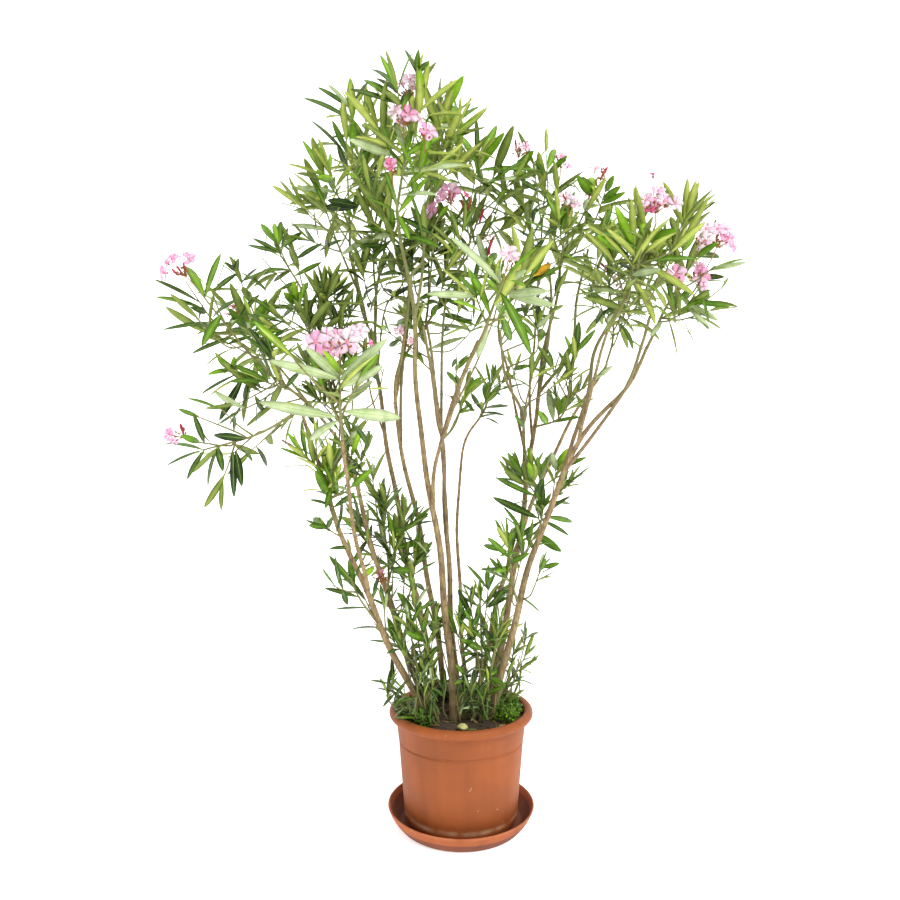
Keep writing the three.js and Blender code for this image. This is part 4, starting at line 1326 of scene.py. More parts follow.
# Leaves seen in the photograph, by mass. A row is the place where it leaves its twig and its tip in
# picture pixels, its width in pixels and its tint.
SEEN: dict[str, tuple[tuple[float, ...], ...]] = {
    "far_left": (
        (203, 300, 187, 267, 9, 3), (205, 297, 221, 253, 6, 2), (200, 302, 153, 279, 4, 1),
        (203, 310, 155, 297, 4, 2), (208, 312, 190, 307, 6, 1), (215, 322, 162, 330, 4, 1),
        (218, 327, 193, 327, 3, 1), (232, 340, 191, 354, 4, 1), (214, 318, 238, 300, 4, 1)),
    "left_middle": (
        (230, 275, 239, 258, 5, 1), (228, 277, 213, 292, 5, 1), (232, 274, 224, 262, 4, 1),
        (240, 282, 282, 268, 4, 2), (245, 268, 267, 292, 3, 1), (248, 333, 247, 305, 9, 5),
        (247, 330, 228, 308, 8, 2), (250, 330, 267, 298, 9, 3), (257, 308, 300, 308, 4, 1),
        (247, 335, 228, 331, 5, 2), (252, 335, 282, 330, 6, 3), (250, 340, 226, 345, 4, 1)),
    "left_inner": (
        (228, 377, 207, 375, 5, 3), (227, 375, 217, 358, 7, 3), (230, 375, 234, 356, 6, 3),
        (232, 382, 200, 395, 3, 1), (235, 388, 219, 421, 8, 0), (247, 383, 245, 403, 5, 0),
        (252, 390, 263, 411, 6, 1), (262, 386, 240, 372, 5, 1), (270, 380, 252, 360, 5, 2),
        (285, 388, 300, 372, 5, 1)),
    "left_upper": (
        (278, 245, 261, 224, 7, 3), (277, 243, 274, 223, 6, 4), (280, 245, 281, 221, 7, 2),
        (283, 247, 302, 232, 6, 2), (283, 253, 252, 238, 4, 1), (282, 253, 247, 245, 4, 1),
        (292, 260, 323, 243, 5, 1), (293, 268, 263, 270, 3, 1), (293, 270, 273, 282, 4, 1),
        (296, 275, 322, 262, 5, 2), (298, 282, 280, 290, 4, 1)),
    "left_shoulder": (
        (297, 303, 293, 280, 7, 4), (298, 303, 283, 292, 7, 3), (300, 300, 308, 282, 6, 3),
        (296, 306, 282, 318, 5, 1), (301, 306, 318, 300, 5, 1), (335, 290, 327, 270, 5, 2),
        (337, 288, 337, 270, 6, 2), (338, 290, 348, 277, 5, 2), (336, 294, 322, 296, 4, 1),
        (338, 296, 352, 292, 4, 1), (334, 300, 318, 312, 4, 1)),
    "low_left": (
        (205, 440, 193, 413, 6, 1), (200, 443, 180, 435, 7, 3), (200, 447, 162, 444, 4, 2),
        (200, 450, 166, 466, 3, 1), (205, 452, 187, 480, 5, 1), (220, 450, 208, 489, 4, 1),
        (218, 452, 223, 472, 7, 1), (232, 450, 234, 498, 7, 0), (235, 450, 242, 487, 8, 0),
        (240, 447, 252, 462, 4, 1), (255, 445, 267, 467, 5, 0), (245, 440, 213, 435, 8, 0),
        (233, 433, 233, 413, 4, 1)),
    "left_tuft": (
        (336, 499, 328, 449, 8, 3), (338, 486, 337, 447, 6, 4), (333, 496, 315, 471, 10, 2),
        (334, 497, 316, 464, 7, 2), (336, 499, 325, 481, 9, 3), (333, 496, 313, 492, 3, 1),
        (331, 507, 309, 500, 3, 1), (350, 487, 373, 468, 7, 3), (347, 484, 357, 457, 8, 3),
        (354, 453, 361, 429, 6, 4), (346, 444, 358, 429, 7, 5), (338, 506, 355, 493, 6, 2),
        (325, 530, 313, 518, 8, 2), (324, 531, 308, 525, 6, 2), (326, 534, 296, 541, 4, 1),
        (327, 528, 333, 516, 5, 1)),
    "left_side": (
        (360, 597, 324, 588, 5, 1), (357, 587, 341, 579, 2, 1), (359, 587, 349, 559, 7, 2),
        (367, 584, 374, 567, 7, 4), (354, 561, 360, 554, 5, 2), (351, 546, 329, 549, 4, 1),
        (347, 536, 351, 522, 6, 2)),
    "left_low": (
        (389, 551, 374, 531, 7, 1), (394, 549, 421, 541, 7, 2), (396, 537, 403, 520, 7, 4),
        (403, 534, 417, 523, 4, 2), (396, 550, 389, 570, 7, 2), (393, 536, 388, 513, 6, 2),
        (415, 563, 433, 541, 5, 2), (416, 560, 431, 549, 5, 1), (416, 556, 417, 534, 5, 2),
        (390, 569, 413, 571, 8, 2), (387, 566, 370, 556, 6, 1)),
    "front": (
        (337, 380, 268, 360, 11, 5), (337, 417, 258, 402, 12, 5), (335, 377, 305, 347, 10, 5),
        (338, 423, 310, 440, 9, 5), (344, 381, 388, 338, 11, 5), (344, 388, 383, 366, 11, 5),
        (345, 403, 373, 380, 7, 5), (345, 412, 401, 418, 14, 5), (338, 372, 322, 350, 7, 4),
        (343, 370, 362, 356, 7, 3)),
    "upper_left": (
        (356, 120, 343, 70, 10, 3), (359, 120, 350, 77, 9, 4), (350, 110, 317, 87, 4, 1),
        (350, 122, 303, 98, 4, 1), (347, 112, 327, 84, 4, 5), (362, 97, 370, 81, 3, 1),
        (357, 150, 354, 120, 8, 3), (342, 152, 332, 120, 6, 2), (340, 157, 310, 120, 3, 1),
        (347, 170, 337, 145, 6, 1), (340, 192, 290, 189, 6, 5), (344, 210, 297, 210, 5, 5),
        (340, 177, 317, 177, 8, 4), (327, 180, 316, 169, 6, 4), (356, 165, 372, 140, 7, 2)),
    "upper_left_side": (
        (337, 230, 290, 225, 5, 5), (365, 196, 327, 200, 9, 0), (370, 212, 325, 207, 9, 0),
        (352, 218, 340, 200, 6, 3), (350, 215, 360, 190, 7, 3), (345, 240, 318, 252, 4, 1)),
    "centre_back": (
        (372, 237, 340, 256, 6, 5), (403, 233, 374, 239, 6, 5), (403, 233, 440, 248, 5, 2),
        (400, 277, 380, 274, 4, 1), (398, 286, 382, 289, 4, 1), (378, 276, 398, 273, 4, 1),
        (412, 247, 407, 275, 8, 0), (400, 243, 414, 259, 6, 1), (392, 240, 372, 262, 5, 1),
        (388, 236, 362, 226, 5, 2), (396, 232, 392, 208, 6, 2), (394, 250, 420, 240, 6, 1),
        (384, 250, 360, 246, 5, 1), (390, 262, 412, 270, 5, 1), (386, 256, 378, 280, 5, 0)),
    "top": (
        (410, 72, 404, 49, 4, 1), (417, 75, 419, 49, 6, 2), (425, 75, 430, 61, 5, 2),
        (424, 105, 420, 69, 10, 4), (389, 157, 348, 139, 9, 5), (400, 152, 394, 122, 7, 5),
        (395, 152, 382, 125, 6, 2), (395, 152, 376, 129, 5, 2), (404, 172, 465, 165, 7, 5),
        (402, 157, 442, 136, 8, 3), (407, 197, 437, 195, 5, 5), (385, 107, 350, 89, 5, 1),
        (390, 92, 370, 69, 4, 1), (395, 94, 376, 78, 4, 1)),
    "centre_crown": (
        (445, 107, 464, 75, 10, 4), (434, 122, 458, 107, 12, 3), (432, 107, 441, 75, 5, 1),
        (452, 130, 480, 106, 4, 2), (440, 126, 471, 126, 7, 5), (465, 157, 450, 125, 7, 3),
        (462, 150, 445, 130, 6, 3)),
    "centre_right": (
        (476, 160, 476, 117, 5, 1), (477, 162, 497, 125, 9, 3), (482, 162, 505, 132, 9, 3),
        (477, 171, 537, 170, 5, 2), (485, 180, 531, 178, 4, 5), (480, 182, 497, 191, 6, 1),
        (512, 172, 534, 150, 9, 3), (470, 160, 455, 132, 7, 3), (497, 205, 505, 190, 7, 4),
        (477, 261, 477, 233, 7, 5), (483, 263, 497, 253, 8, 3)),
    "near": (
        (483, 294, 426, 294, 8, 5), (491, 280, 449, 236, 8, 5), (509, 296, 549, 291, 9, 5),
        (510, 297, 556, 306, 9, 5), (487, 300, 510, 317, 10, 5), (501, 281, 527, 270, 8, 5),
        (494, 277, 504, 261, 4, 5), (487, 289, 484, 278, 5, 4), (499, 293, 510, 284, 9, 4),
        (481, 290, 459, 277, 5, 2), (504, 317, 511, 341, 9, 2), (479, 337, 477, 358, 8, 5)),
    "centre_inner": (
        (477, 323, 439, 314, 6, 2), (474, 333, 433, 326, 4, 5), (473, 344, 430, 349, 5, 5),
        (410, 326, 397, 321, 6, 3), (394, 353, 397, 337, 8, 3), (391, 353, 389, 346, 7, 1),
        (383, 333, 382, 325, 6, 4), (424, 274, 436, 286, 5, 1), (448, 270, 436, 287, 6, 1),
        (402, 310, 418, 310, 4, 1), (404, 322, 396, 324, 5, 2), (396, 356, 408, 344, 6, 2),
        (442, 262, 452, 240, 6, 2), (430, 268, 412, 258, 6, 1), (430, 262, 424, 238, 7, 2),
        (440, 280, 462, 274, 5, 1), (446, 286, 468, 290, 5, 2), (436, 292, 418, 300, 5, 1),
        (450, 300, 470, 312, 5, 1), (446, 306, 432, 318, 5, 2), (434, 250, 446, 226, 6, 1),
        (440, 256, 464, 250, 5, 1)),
    "middle_right": (
        (457, 358, 460, 333, 7, 3), (456, 360, 446, 339, 5, 2), (459, 354, 470, 337, 7, 2),
        (457, 369, 469, 356, 7, 2), (454, 367, 431, 355, 5, 2), (454, 381, 446, 371, 5, 2),
        (466, 396, 473, 377, 8, 2), (467, 394, 481, 377, 7, 3), (460, 358, 478, 350, 4, 2),
        (442, 358, 452, 368, 4, 1), (448, 374, 458, 386, 4, 1), (466, 400, 474, 412, 4, 1),
        (462, 404, 450, 396, 5, 1)),
    "middle_far": (
        (487, 403, 484, 384, 6, 2), (489, 403, 501, 384, 7, 3), (487, 409, 510, 406, 4, 1),
        (484, 414, 506, 416, 3, 1), (483, 411, 471, 393, 5, 1)),
    "right_inner": (
        (539, 343, 543, 329, 9, 3), (534, 337, 521, 321, 5, 2), (536, 331, 539, 306, 8, 1),
        (540, 327, 551, 314, 6, 5), (533, 311, 511, 313, 4, 1), (534, 273, 551, 264, 8, 6),
        (533, 260, 531, 249, 7, 3), (530, 263, 524, 250, 4, 2)),
    "right_centre": (
        (542, 170, 555, 149, 8, 3), (545, 175, 568, 155, 6, 3), (548, 180, 535, 160, 5, 2),
        (540, 190, 520, 180, 5, 1)),
    "right_crown": (
        (582, 192, 577, 175, 9, 3), (594, 192, 591, 177, 9, 4), (600, 190, 614, 175, 7, 3),
        (602, 200, 621, 186, 7, 3), (605, 205, 626, 192, 6, 3), (586, 210, 592, 225, 8, 2),
        (558, 215, 548, 200, 6, 3), (562, 215, 575, 200, 6, 4), (560, 225, 545, 235, 5, 1)),
    "right_rear": (
        (609, 307, 587, 290, 5, 1), (604, 325, 617, 312, 8, 5), (622, 292, 581, 289, 5, 5)),
    "right_flowering": (
        (630, 237, 615, 205, 9, 4), (632, 237, 651, 222, 9, 3), (647, 240, 677, 229, 10, 3),
        (627, 255, 596, 235, 8, 3), (640, 262, 700, 259, 6, 2), (631, 275, 661, 269, 9, 5),
        (640, 215, 626, 202, 8, 5), (645, 235, 640, 215, 8, 4)),
    "far_right": (
        (690, 252, 696, 226, 9, 4), (684, 220, 698, 191, 6, 2), (690, 224, 717, 201, 4, 1),
        (702, 257, 718, 242, 7, 3), (700, 260, 720, 257, 6, 1), (710, 270, 747, 262, 5, 5),
        (702, 277, 725, 277, 6, 1), (690, 300, 731, 306, 6, 2), (687, 302, 719, 321, 6, 5),
        (685, 305, 710, 331, 5, 5), (665, 295, 666, 275, 7, 5), (675, 302, 690, 290, 7, 3)),
    "right_lower": (
        (580, 340, 579, 321, 8, 1), (582, 342, 596, 329, 6, 2), (547, 423, 538, 410, 7, 3),
        (552, 417, 548, 388, 8, 5), (555, 413, 557, 395, 7, 4), (555, 417, 567, 395, 9, 3),
        (563, 408, 577, 397, 4, 2), (552, 428, 582, 417, 4, 2)),
    "right_middle": (
        (535, 425, 523, 405, 8, 5), (537, 428, 514, 415, 4, 2), (514, 369, 530, 365, 5, 2)),
    "right_low": (
        (530, 485, 522, 463, 7, 3), (522, 477, 507, 452, 6, 2), (532, 480, 528, 462, 7, 4),
        (523, 490, 510, 467, 6, 2), (530, 497, 495, 477, 6, 2), (532, 522, 492, 497, 8, 1),
        (535, 497, 544, 478, 8, 1), (534, 513, 540, 497, 7, 2), (530, 527, 498, 537, 6, 2),
        (540, 473, 537, 456, 6, 2), (557, 468, 568, 448, 8, 4), (553, 468, 552, 453, 7, 5),
        (558, 470, 587, 457, 5, 2), (555, 483, 574, 482, 3, 1), (553, 504, 571, 504, 3, 1),
        (547, 519, 573, 522, 6, 2), (540, 540, 562, 552, 9, 2)),
    "right_low_front": (
        (507, 558, 512, 528, 6, 4), (503, 558, 487, 537, 6, 2), (505, 552, 483, 545, 6, 2),
        (510, 563, 530, 553, 6, 2), (507, 570, 480, 570, 4, 1), (508, 567, 495, 572, 6, 3),
        (542, 571, 546, 558, 5, 2), (542, 568, 560, 563, 5, 2)),
    "base_left": narrowed((
        (416, 595, 410, 571, 9, 4), (410, 571, 390, 567, 6, 2), (419, 592, 434, 576, 4, 2),
        (415, 614, 436, 601, 6, 3), (411, 612, 397, 592, 9, 2), (427, 640, 405, 632, 11, 3),
        (426, 639, 410, 621, 8, 2), (426, 632, 424, 620, 7, 4), (429, 631, 429, 620, 8, 4),
        (424, 645, 410, 647, 7, 3), (430, 650, 440, 647, 7, 3), (396, 640, 385, 627, 6, 2),
        (399, 650, 386, 654, 3, 1))),
    "base_centre": narrowed((
        (482, 589, 466, 564, 5, 2), (484, 586, 489, 564, 6, 2), (486, 587, 492, 576, 5, 2),
        (485, 597, 510, 590, 7, 1), (486, 608, 509, 597, 7, 1), (479, 594, 459, 582, 4, 1),
        (479, 608, 460, 596, 5, 1), (480, 612, 472, 627, 7, 1), (482, 611, 486, 638, 8, 2),
        (451, 611, 459, 599, 6, 4), (452, 615, 469, 607, 6, 2), (486, 642, 510, 632, 7, 3),
        (485, 655, 509, 634, 9, 2), (485, 641, 471, 629, 6, 2), (480, 650, 460, 639, 10, 2),
        (457, 657, 472, 652, 7, 3), (489, 675, 509, 663, 9, 4), (486, 677, 506, 685, 8, 3),
        (485, 695, 506, 686, 7, 3), (485, 676, 479, 657, 6, 3), (467, 675, 455, 665, 7, 2),
        (470, 679, 454, 684, 6, 2))),
    "base_right": narrowed((
        (525, 637, 526, 620, 3, 3), (527, 639, 539, 632, 3, 1), (524, 640, 520, 628, 3, 2))),
}


# Growing

@dataclass(frozen=True)
class Twig:
    """A shoot's line and what it carries."""

    path: Path
    thick: float
    thin: float
    whorls: int
    leaf: float
    tint: float
    flowering: bool = False


class Skeleton:
    """The limbs' lines, and the room that they take."""

    STEP = 9.0

    def __init__(self, limbs: Sequence[Limb]) -> None:
        """Works out every limb's line in order.

        Args:
            limbs: The limbs, each listed after the one that it grows from.
        """
        self.paths: dict[str, Path] = {}
        centres, radii = [], []
        for limb in limbs:
            path = Path([self.start_of(limb.start), *limb.through])
            self.paths[limb.name] = path
            shares = np.linspace(0, 1, int(path.length / self.STEP))
            centres.append(path.at(shares))
            radii.append(limb_radius(limb, path, shares))
        self.centres = np.vstack(centres)
        self.radii = np.concatenate(radii)

    def start_of(self, start: Start) -> Vec:
        """Where a limb or mass starts: a place on the soil, or a share of an earlier limb.

        Args:
            start: An earlier limb's name and a share of it, or x and y.

        Returns:
            The point.
        """
        if isinstance(start[0], str):
            return self.paths[start[0]].at(start[1])
        return np.array([*start, SOIL_TOP - BURIED], float)

    def clear(self, points: Vec, room: float = 2.0) -> bool:
        """Whether every point keeps clear of the limbs."""
        far = np.linalg.norm(self.centres[None] - points[:, None], axis=2)
        return bool((far > self.radii + room).all())


def limb_radius(limb: Limb, path: Path, share: Vec) -> Vec:
    """The radius of a limb at shares of its length, wider at a foot in the soil.

    Args:
        limb: The limb.
        path: Its line.
        share: Shares of its length.

    Returns:
        One radius for each share.
    """
    thick, thin = (max(SLIMMER * radius, THINNEST) for radius in limb.radii)
    flare = 0.0 if isinstance(limb.start[0], str) else ROOT_FLARE[0]
    return thin + (thick - thin) * (1 - share) + thick * flare * np.exp(-share * path.length / ROOT_FLARE[1])


@dataclass
class Bark:
    """The mesh of a limb: an uneven tube with leaf scars every few centimetres.

    Its radius is the plain one times 1 + ridge (sin(3a + s / 60) + sin(5a - s / 35) / 2), plus a swelling
    at each scar. Its centre wanders by slow sines of the length s, and both are shifted by a phase.
    """

    sides: int = 18
    step: float = 5.0
    ridge: float = 0.045
    wander: float = 2.6
    scar_spacing: float = 41.0
    scar_width: float = 3.2
    swelling: float = 0.8

    def tube(self, path: Path, radius: Vec, shares: Vec, phase: float) -> tuple[Vec, Vec, Vec]:
        """The mesh along a line.

        Args:
            path: The line.
            radius: The plain radius at each ring.
            shares: Each ring's share of the length.
            phase: What sets this limb's ridges apart from the others'.

        Returns:
            The points, the triangles and the scar number of each point.
        """
        s = (shares * path.length)[:, None]
        a = (np.arange(self.sides) * FULL_TURN / self.sides)[None, :]
        node = np.round(s / self.scar_spacing)
        near = np.exp(-(((s - node * self.scar_spacing) / self.scar_width) ** 2))
        facing = 0.5 + 0.5 * np.cos(3 * a + node * math.pi + phase)
        ridges = self.ridge * (np.sin(3 * a + s / 60 + phase) + 0.5 * np.sin(5 * a - s / 35 + 2 * phase))
        swell = self.swelling * near * (0.4 + 0.6 * facing)
        ends = np.clip(np.minimum(s, path.length - s) / 60, 0, 1)
        wander = self.wander * ends * np.concatenate([
            np.sin(s / 47 + phase), np.cos(s / 61 + 1.7 * phase), np.zeros_like(s),
        ], axis=1)
        points, faces = tube(path.at(shares) + wander, radius[:, None] * (1 + ridges) + swell, self.sides)
        marks = np.concatenate([[0.0], (near * facing).ravel(), [0.0]])
        return points, faces, marks

    def limb(self, limb: Limb, path: Path, phase: float) -> tuple[Vec, Vec, Vec]:
        """The mesh of one limb of the plan."""
        shares = np.linspace(0, 1, max(12, int(path.length / self.step)))
        return self.tube(path, limb_radius(limb, path, shares), shares, phase)


@dataclass
class Crown:
    """Grows every mass: its twigs by the source's rule, finer ones, and those seen in the photograph.

    A side twig forks at a share of the way from hub to lead, leans by a share of `side_spread` degrees, and
    is as long as a share of the mass's reach. A finer one forks off a share of the reach back from a tip.
    A twig whose foot lies within `straight_within` of its root runs straight. The margin is kept inside
    the object's box, and no foot in the soil lies further out than `planted`.
    """

    skeleton: Skeleton
    low: Vec
    high: Vec
    leading_radii: tuple[float, float] = (3.4, 1.9)
    side_radius: float = 2.4
    fine_radius: float = 1.7
    tip_radius: float = 1.3
    margin: float = 3.0
    planted: float = 128.0
    side_fork: tuple[float, float] = (0.05, 0.55)
    side_spread: float = 72.0
    side_share: tuple[float, float] = (0.6, 1.0)
    side_lift: float = 0.2
    side_reach: tuple[float, float] = (0.6, 0.8)
    side_leaf: float = 0.92
    finer_back: tuple[float, float] = (0.35, 0.8)
    finer_lean: tuple[float, float] = (35, 62)
    finer_lift: float = 0.35
    finer_reach: tuple[float, float] = (0.34, 0.5)
    finer_leaf: float = 0.82
    straight_within: float = 18

    def mass_twigs(self, mass: Mass, seed: int) -> list[Twig]:
        """The twigs of a mass.

        Args:
            mass: The mass.
            seed: Its number in the plan, from 1.

        Returns:
            The leading twig, the rule's side twigs, finer ones on them, and the photographed ones.
        """
        dice = Dice(seed)
        hub, lead = np.array(mass.hub, float), np.array(mass.lead, float)
        axis = unit(lead - hub)
        stem = Path([self.skeleton.start_of(mass.start), hub, lead])
        first_turn = dice(0, FULL_TURN)
        twigs = [Twig(stem, *self.leading_radii, mass.whorls + 1, mass.leaf, mass.tint, mass.flowering)]
        for k in range(1, mass.shoots):
            fork = hub + (lead - hub) * dice(*self.side_fork)
            lean = math.radians(self.side_spread) * dice(*self.side_share)
            heading = leant(axis, lean, first_turn + k * GOLDEN_ANGLE)
            heading[2] += self.side_lift
            tip = fork + unit(heading) * mass.reach * dice(*self.side_reach)
            twigs.append(self._side(fork, tip, mass))
        chance = Dice(seed + FINER_SEED)
        for twig in list(twigs):
            for _ in range(mass.finer):
                twigs.append(self._finer(twig, mass, chance))
        return twigs + [self._photographed(Shoot(*row), stem, mass) for row in SHOOTS.get(mass.name, ())]

    def _side(self, fork: Vec, tip: Vec, mass: Mass) -> Twig:
        """A side twig, as straight as the plan's but with a slight sag.

        Args:
            fork: Where it forks off.
            tip: Its tip.
            mass: Its mass.

        Returns:
            The twig.
        """
        middle = (fork + tip) / 2 - np.array([0, 0, 0.05]) * np.linalg.norm(tip - fork)
        return Twig(Path([fork, middle, tip]), self.side_radius, self.tip_radius, mass.whorls + 1,
                    mass.leaf * self.side_leaf, mass.tint - 0.2)

    def _finer(self, twig: Twig, mass: Mass, dice: Dice) -> Twig:
        """A finer twig that forks from another within the mass's reach.

        Args:
            twig: The twig that bears it.
            mass: Its mass.
            dice: Deals its place, lean, turn and length.

        Returns:
            The twig.
        """
        share = 1 - dice(*self.finer_back) * min(1.0, 1.2 * mass.reach / twig.path.length)
        fork, axis = twig.path.at(share), twig.path.heading(share)
        heading = leant(axis, math.radians(dice(*self.finer_lean)), dice(0, FULL_TURN))
        heading[2] += self.finer_lift
        tip = fork + unit(heading) * mass.reach * dice(*self.finer_reach)
        middle = (fork + tip) / 2 - np.array([0, 0, 4.0])
        return Twig(Path([fork, middle, tip]), self.fine_radius, self.tip_radius, mass.whorls + 2,
                    mass.leaf * self.finer_leaf, mass.tint - 0.1)

    def _photographed(self, shoot: Shoot, stem: Path, mass: Mass) -> Twig:
        """A twig through a photographed shoot, joined to its mass's stem or to the limb that bears it.

        Args:
            shoot: The shoot.
            stem: The line to the mass's hub and leading tip.
            mass: Its mass.

        Returns:
            The twig.
        """
        depth = mass.hub[1] + shoot.depth
        tip = SIGHT.point(shoot.tip_u, shoot.tip_v, depth)
        foot = SIGHT.point(shoot.foot_u, shoot.foot_v, (depth + mass.hub[1]) / 2)
        below = foot + (foot - tip) * 0.25
        share, far = stem.nearest(below, 0.0, 0.9)
        root = stem.at(share)
        if isinstance(mass.start[0], str):
            limb = self.skeleton.paths[mass.start[0]]
            other, nearer = limb.nearest(below, 0.3, 1.0)
            if nearer < far:
                root = limb.at(other)
        else:
            root = np.array([*(foot[:2] * min(0.72, self.planted / np.hypot(*foot[:2]))), SOIL_TOP - 4.0])
        near = np.linalg.norm(foot - root) < self.straight_within
        if near or np.dot(unit(foot - root), unit(tip - foot)) < 0.35:
            foot = (root + tip) / 2 - np.array([0, 0, 3.0])
        return Twig(Path([root, foot, tip]), self.side_radius, self.tip_radius, shoot.whorls, shoot.leaf,
                    shoot.tint, shoot.flowering)

    def room_for(self, mass: Mass, tip: Vec) -> bool:
        """Whether a point lies within the mass's reach and the object's box.

        Args:
            mass: The mass.
            tip: The point.

        Returns:
            Whether it does.
        """
        hub, lead = np.array(mass.hub, float), np.array(mass.lead, float)
        share = np.clip(np.dot(tip - hub, lead - hub) / np.dot(lead - hub, lead - hub), 0, 1)
        inside = (tip > self.low + self.margin).all() and (tip < self.high - self.margin).all()
        return bool(inside and np.linalg.norm(tip - hub - share * (lead - hub)) < mass.reach)


@dataclass
class Foliage:
    """Dresses twigs with whorls of three leaves, the way an oleander bears them.

    Down from the tip the whorls stand further apart and their leaves lean further out, grow to full
    length, darken, droop and begin to be missing. The spacing is the first gap, its growth and the widest;
    the lean in degrees the first, its growth and the widest; the bend in radians the first, its growth
    and the range dealt around it. `heads` are flowers and stems that no leaf may hide, and `clearings` the
    pixels kept clear round each.
    """

    crown: Crown
    first: float = 5.0
    first_under_head: float = 44.0
    spacing: tuple[float, float, float] = (13.0, 1.35, 42.0)
    lean: tuple[float, float, float] = (15.0, 16.0, 98.0)
    lean_under_head: float = 48.0
    young_lengths: tuple[float, ...] = (0.66, 0.86, 1.0, 1.0)
    width: tuple[float, float] = (0.145, 0.185)
    lost: tuple[float, float] = (0.02, 0.07)
    # The tints darken down a twig: partly the older leaves' own darker green, partly painted shade inside the
    # crown.
    darkening: float = 0.42
    spread: float = 9.0
    size: tuple[float, float] = (0.84, 1.1)
    droop: float = 0.05
    roll: float = 0.35
    bend: tuple[float, float, float, float] = (0.12, 0.1, -0.16, 0.2)
    curl: float = 0.06
    twist: float = 0.3
    tint_spread: float = 0.75
    shorter: tuple[float, ...] = (1.0, 0.82, 0.66)
    behind: float = 12.0
    count: int = 0
    refused: int = 0
    seen: int = 0
    heads: list[Vec] = field(default_factory=list)
    clearings: list[float] = field(default_factory=list)

    def dress(self, twig: Twig, mass: Mass, dice: Dice, bed: BladeBed) -> None:
        """Adds the leaves of one twig to a bed.

        Args:
            twig: The twig.
            mass: Its mass.
            dice: Deals how the leaves vary and which are missing.
            bed: The bed that the leaves are added to.
        """
        headed = twig.flowering
        below = self.first_under_head if headed else self.first
        gap, growth, widest = self.spacing
        gap = gap * 1.5 if headed else gap
        turn = dice(0, FULL_TURN)
        bare = 1 - mass.kept
        for whorl in range(twig.whorls):
            share = 1 - below / twig.path.length
            if share < 0.1:
                return
            lean = (self.lean_under_head if headed else self.lean[0]) + whorl * self.lean[1]
            young = 1.0 if headed else self.young_lengths[min(whorl, len(self.young_lengths) - 1)]
            for k in range(3):
                if dice(0, 1) < bare + self.lost[0] + self.lost[1] * max(0, whorl - 1):
                    continue
                angle = math.radians(min(lean + dice(-self.spread, self.spread), self.lean[2]))
                around = turn + (k + whorl / 2) * FULL_TURN / 3 + dice(-0.22, 0.22)
                place = max(share - k * 2.5 / twig.path.length, 0.02)
                self._leaf(twig, mass, place, angle, around, young * dice(*self.size), whorl, dice, bed)
            below += gap * dice(0.85, 1.15)
            gap = min(gap * growth, widest)

    def _leaf(self, twig: Twig, mass: Mass, share: float, angle: float, around: float, size: float,
              whorl: int, dice: Dice, bed: BladeBed) -> None:
        """Adds one leaf if it fits, a little shorter if need be.

        Args:
            twig: The twig that bears it.
            mass: Its mass.
            share: Its root's share of the twig's length.
            angle: How far it leans out from the twig, in radians.
            around: The side that it leans to, in radians round the twig.
            size: Its length as a share of the twig's leaf length.
            whorl: Its whorl, counted from the tip.
            dice: Deals how it varies.
            bed: The bed that it is added to.
        """
        axis = twig.path.heading(share)
        root = twig.path.at(share)
        along = leant(axis, angle, around)
        along[2] -= self.droop * whorl
        along = unit(along)
        upper = axis if abs(np.dot(axis, along)) < 0.985 else np.array(UP)
        upper = upper + np.array([0.0, 0.0, 0.35 * min(whorl, 3)])
        upper = unit(upper - along * np.dot(upper, along))
        upper = turned(upper, along, dice(-self.roll, self.roll))
        least, per_whorl, low, high = self.bend
        bend = least + per_whorl * whorl + dice(low, high)
        curl, twist = dice(-self.curl, self.curl), dice(-self.twist, self.twist)
        width = dice(*self.width)
        tone = twig.tint - self.darkening * max(0, whorl - 1) + dice(-self.tint_spread, self.tint_spread)
        tints = self._tints(tone, whorl, dice)
        length = twig.leaf * size
        for shorter in self.shorter:
            reach = length * shorter
            spine = root + np.outer((0.4, 0.7, 1.0), along) * reach
            spine -= np.outer((0.08, 0.24, 0.5), upper) * reach * bend
            if self.hides_head(spine):
                break
            if self.crown.room_for(mass, spine[2]) and self.crown.skeleton.clear(spine, 3.0):
                bed.add(root, along, upper, reach, reach**0.5 * length**0.5 * width, bend, curl, twist, tints)
                self.count += 1
                return
        self.refused += 1

    def hides_head(self, spine: Vec) -> bool:
        """Whether points lie before a flower or a stem kept in view, seen the way of the photograph.

        Args:
            spine: Rows of points along a leaf.

        Returns:
            Whether any of them does.
        """
        heads = np.array(self.heads)
        if not len(heads):
            return False
        away = np.linalg.norm(SIGHT.pixels(heads)[None] - SIGHT.pixels(spine)[:, None], axis=2)
        nearer = spine[:, None, 1] < heads[None, :, 1] + self.behind
        return bool(((away < np.array(self.clearings)) & nearer).any())

    @staticmethod
    def _tints(tone: float, whorl: int, dice: Dice) -> tuple[int, int, int]:
        """The materials of a leaf's upper side, rib and under side.

        Args:
            tone: How light the leaf is, as a tint that need not be whole.
            whorl: Its whorl from the tip. A few leaves turn yellow below the fourth.
            dice: Deals which leaves are yellow and which are pale with the light on them.

        Returns:
            Three tints.
        """
        chance = dice(0, 1)
        if whorl > 3 and chance < 0.008:
            return Tint.YELLOW, Tint.RIB, Tint.YELLOW
        if chance > 0.925:
            return Tint.PALE, Tint.RIB, Tint.UNDER_LIT
        tint = int(min(max(round(tone), Tint.DEEP), Tint.BRIGHT))
        return tint, Tint.RIB, Tint.UNDER_LIT if tint >= Tint.FRESH else Tint.UNDER


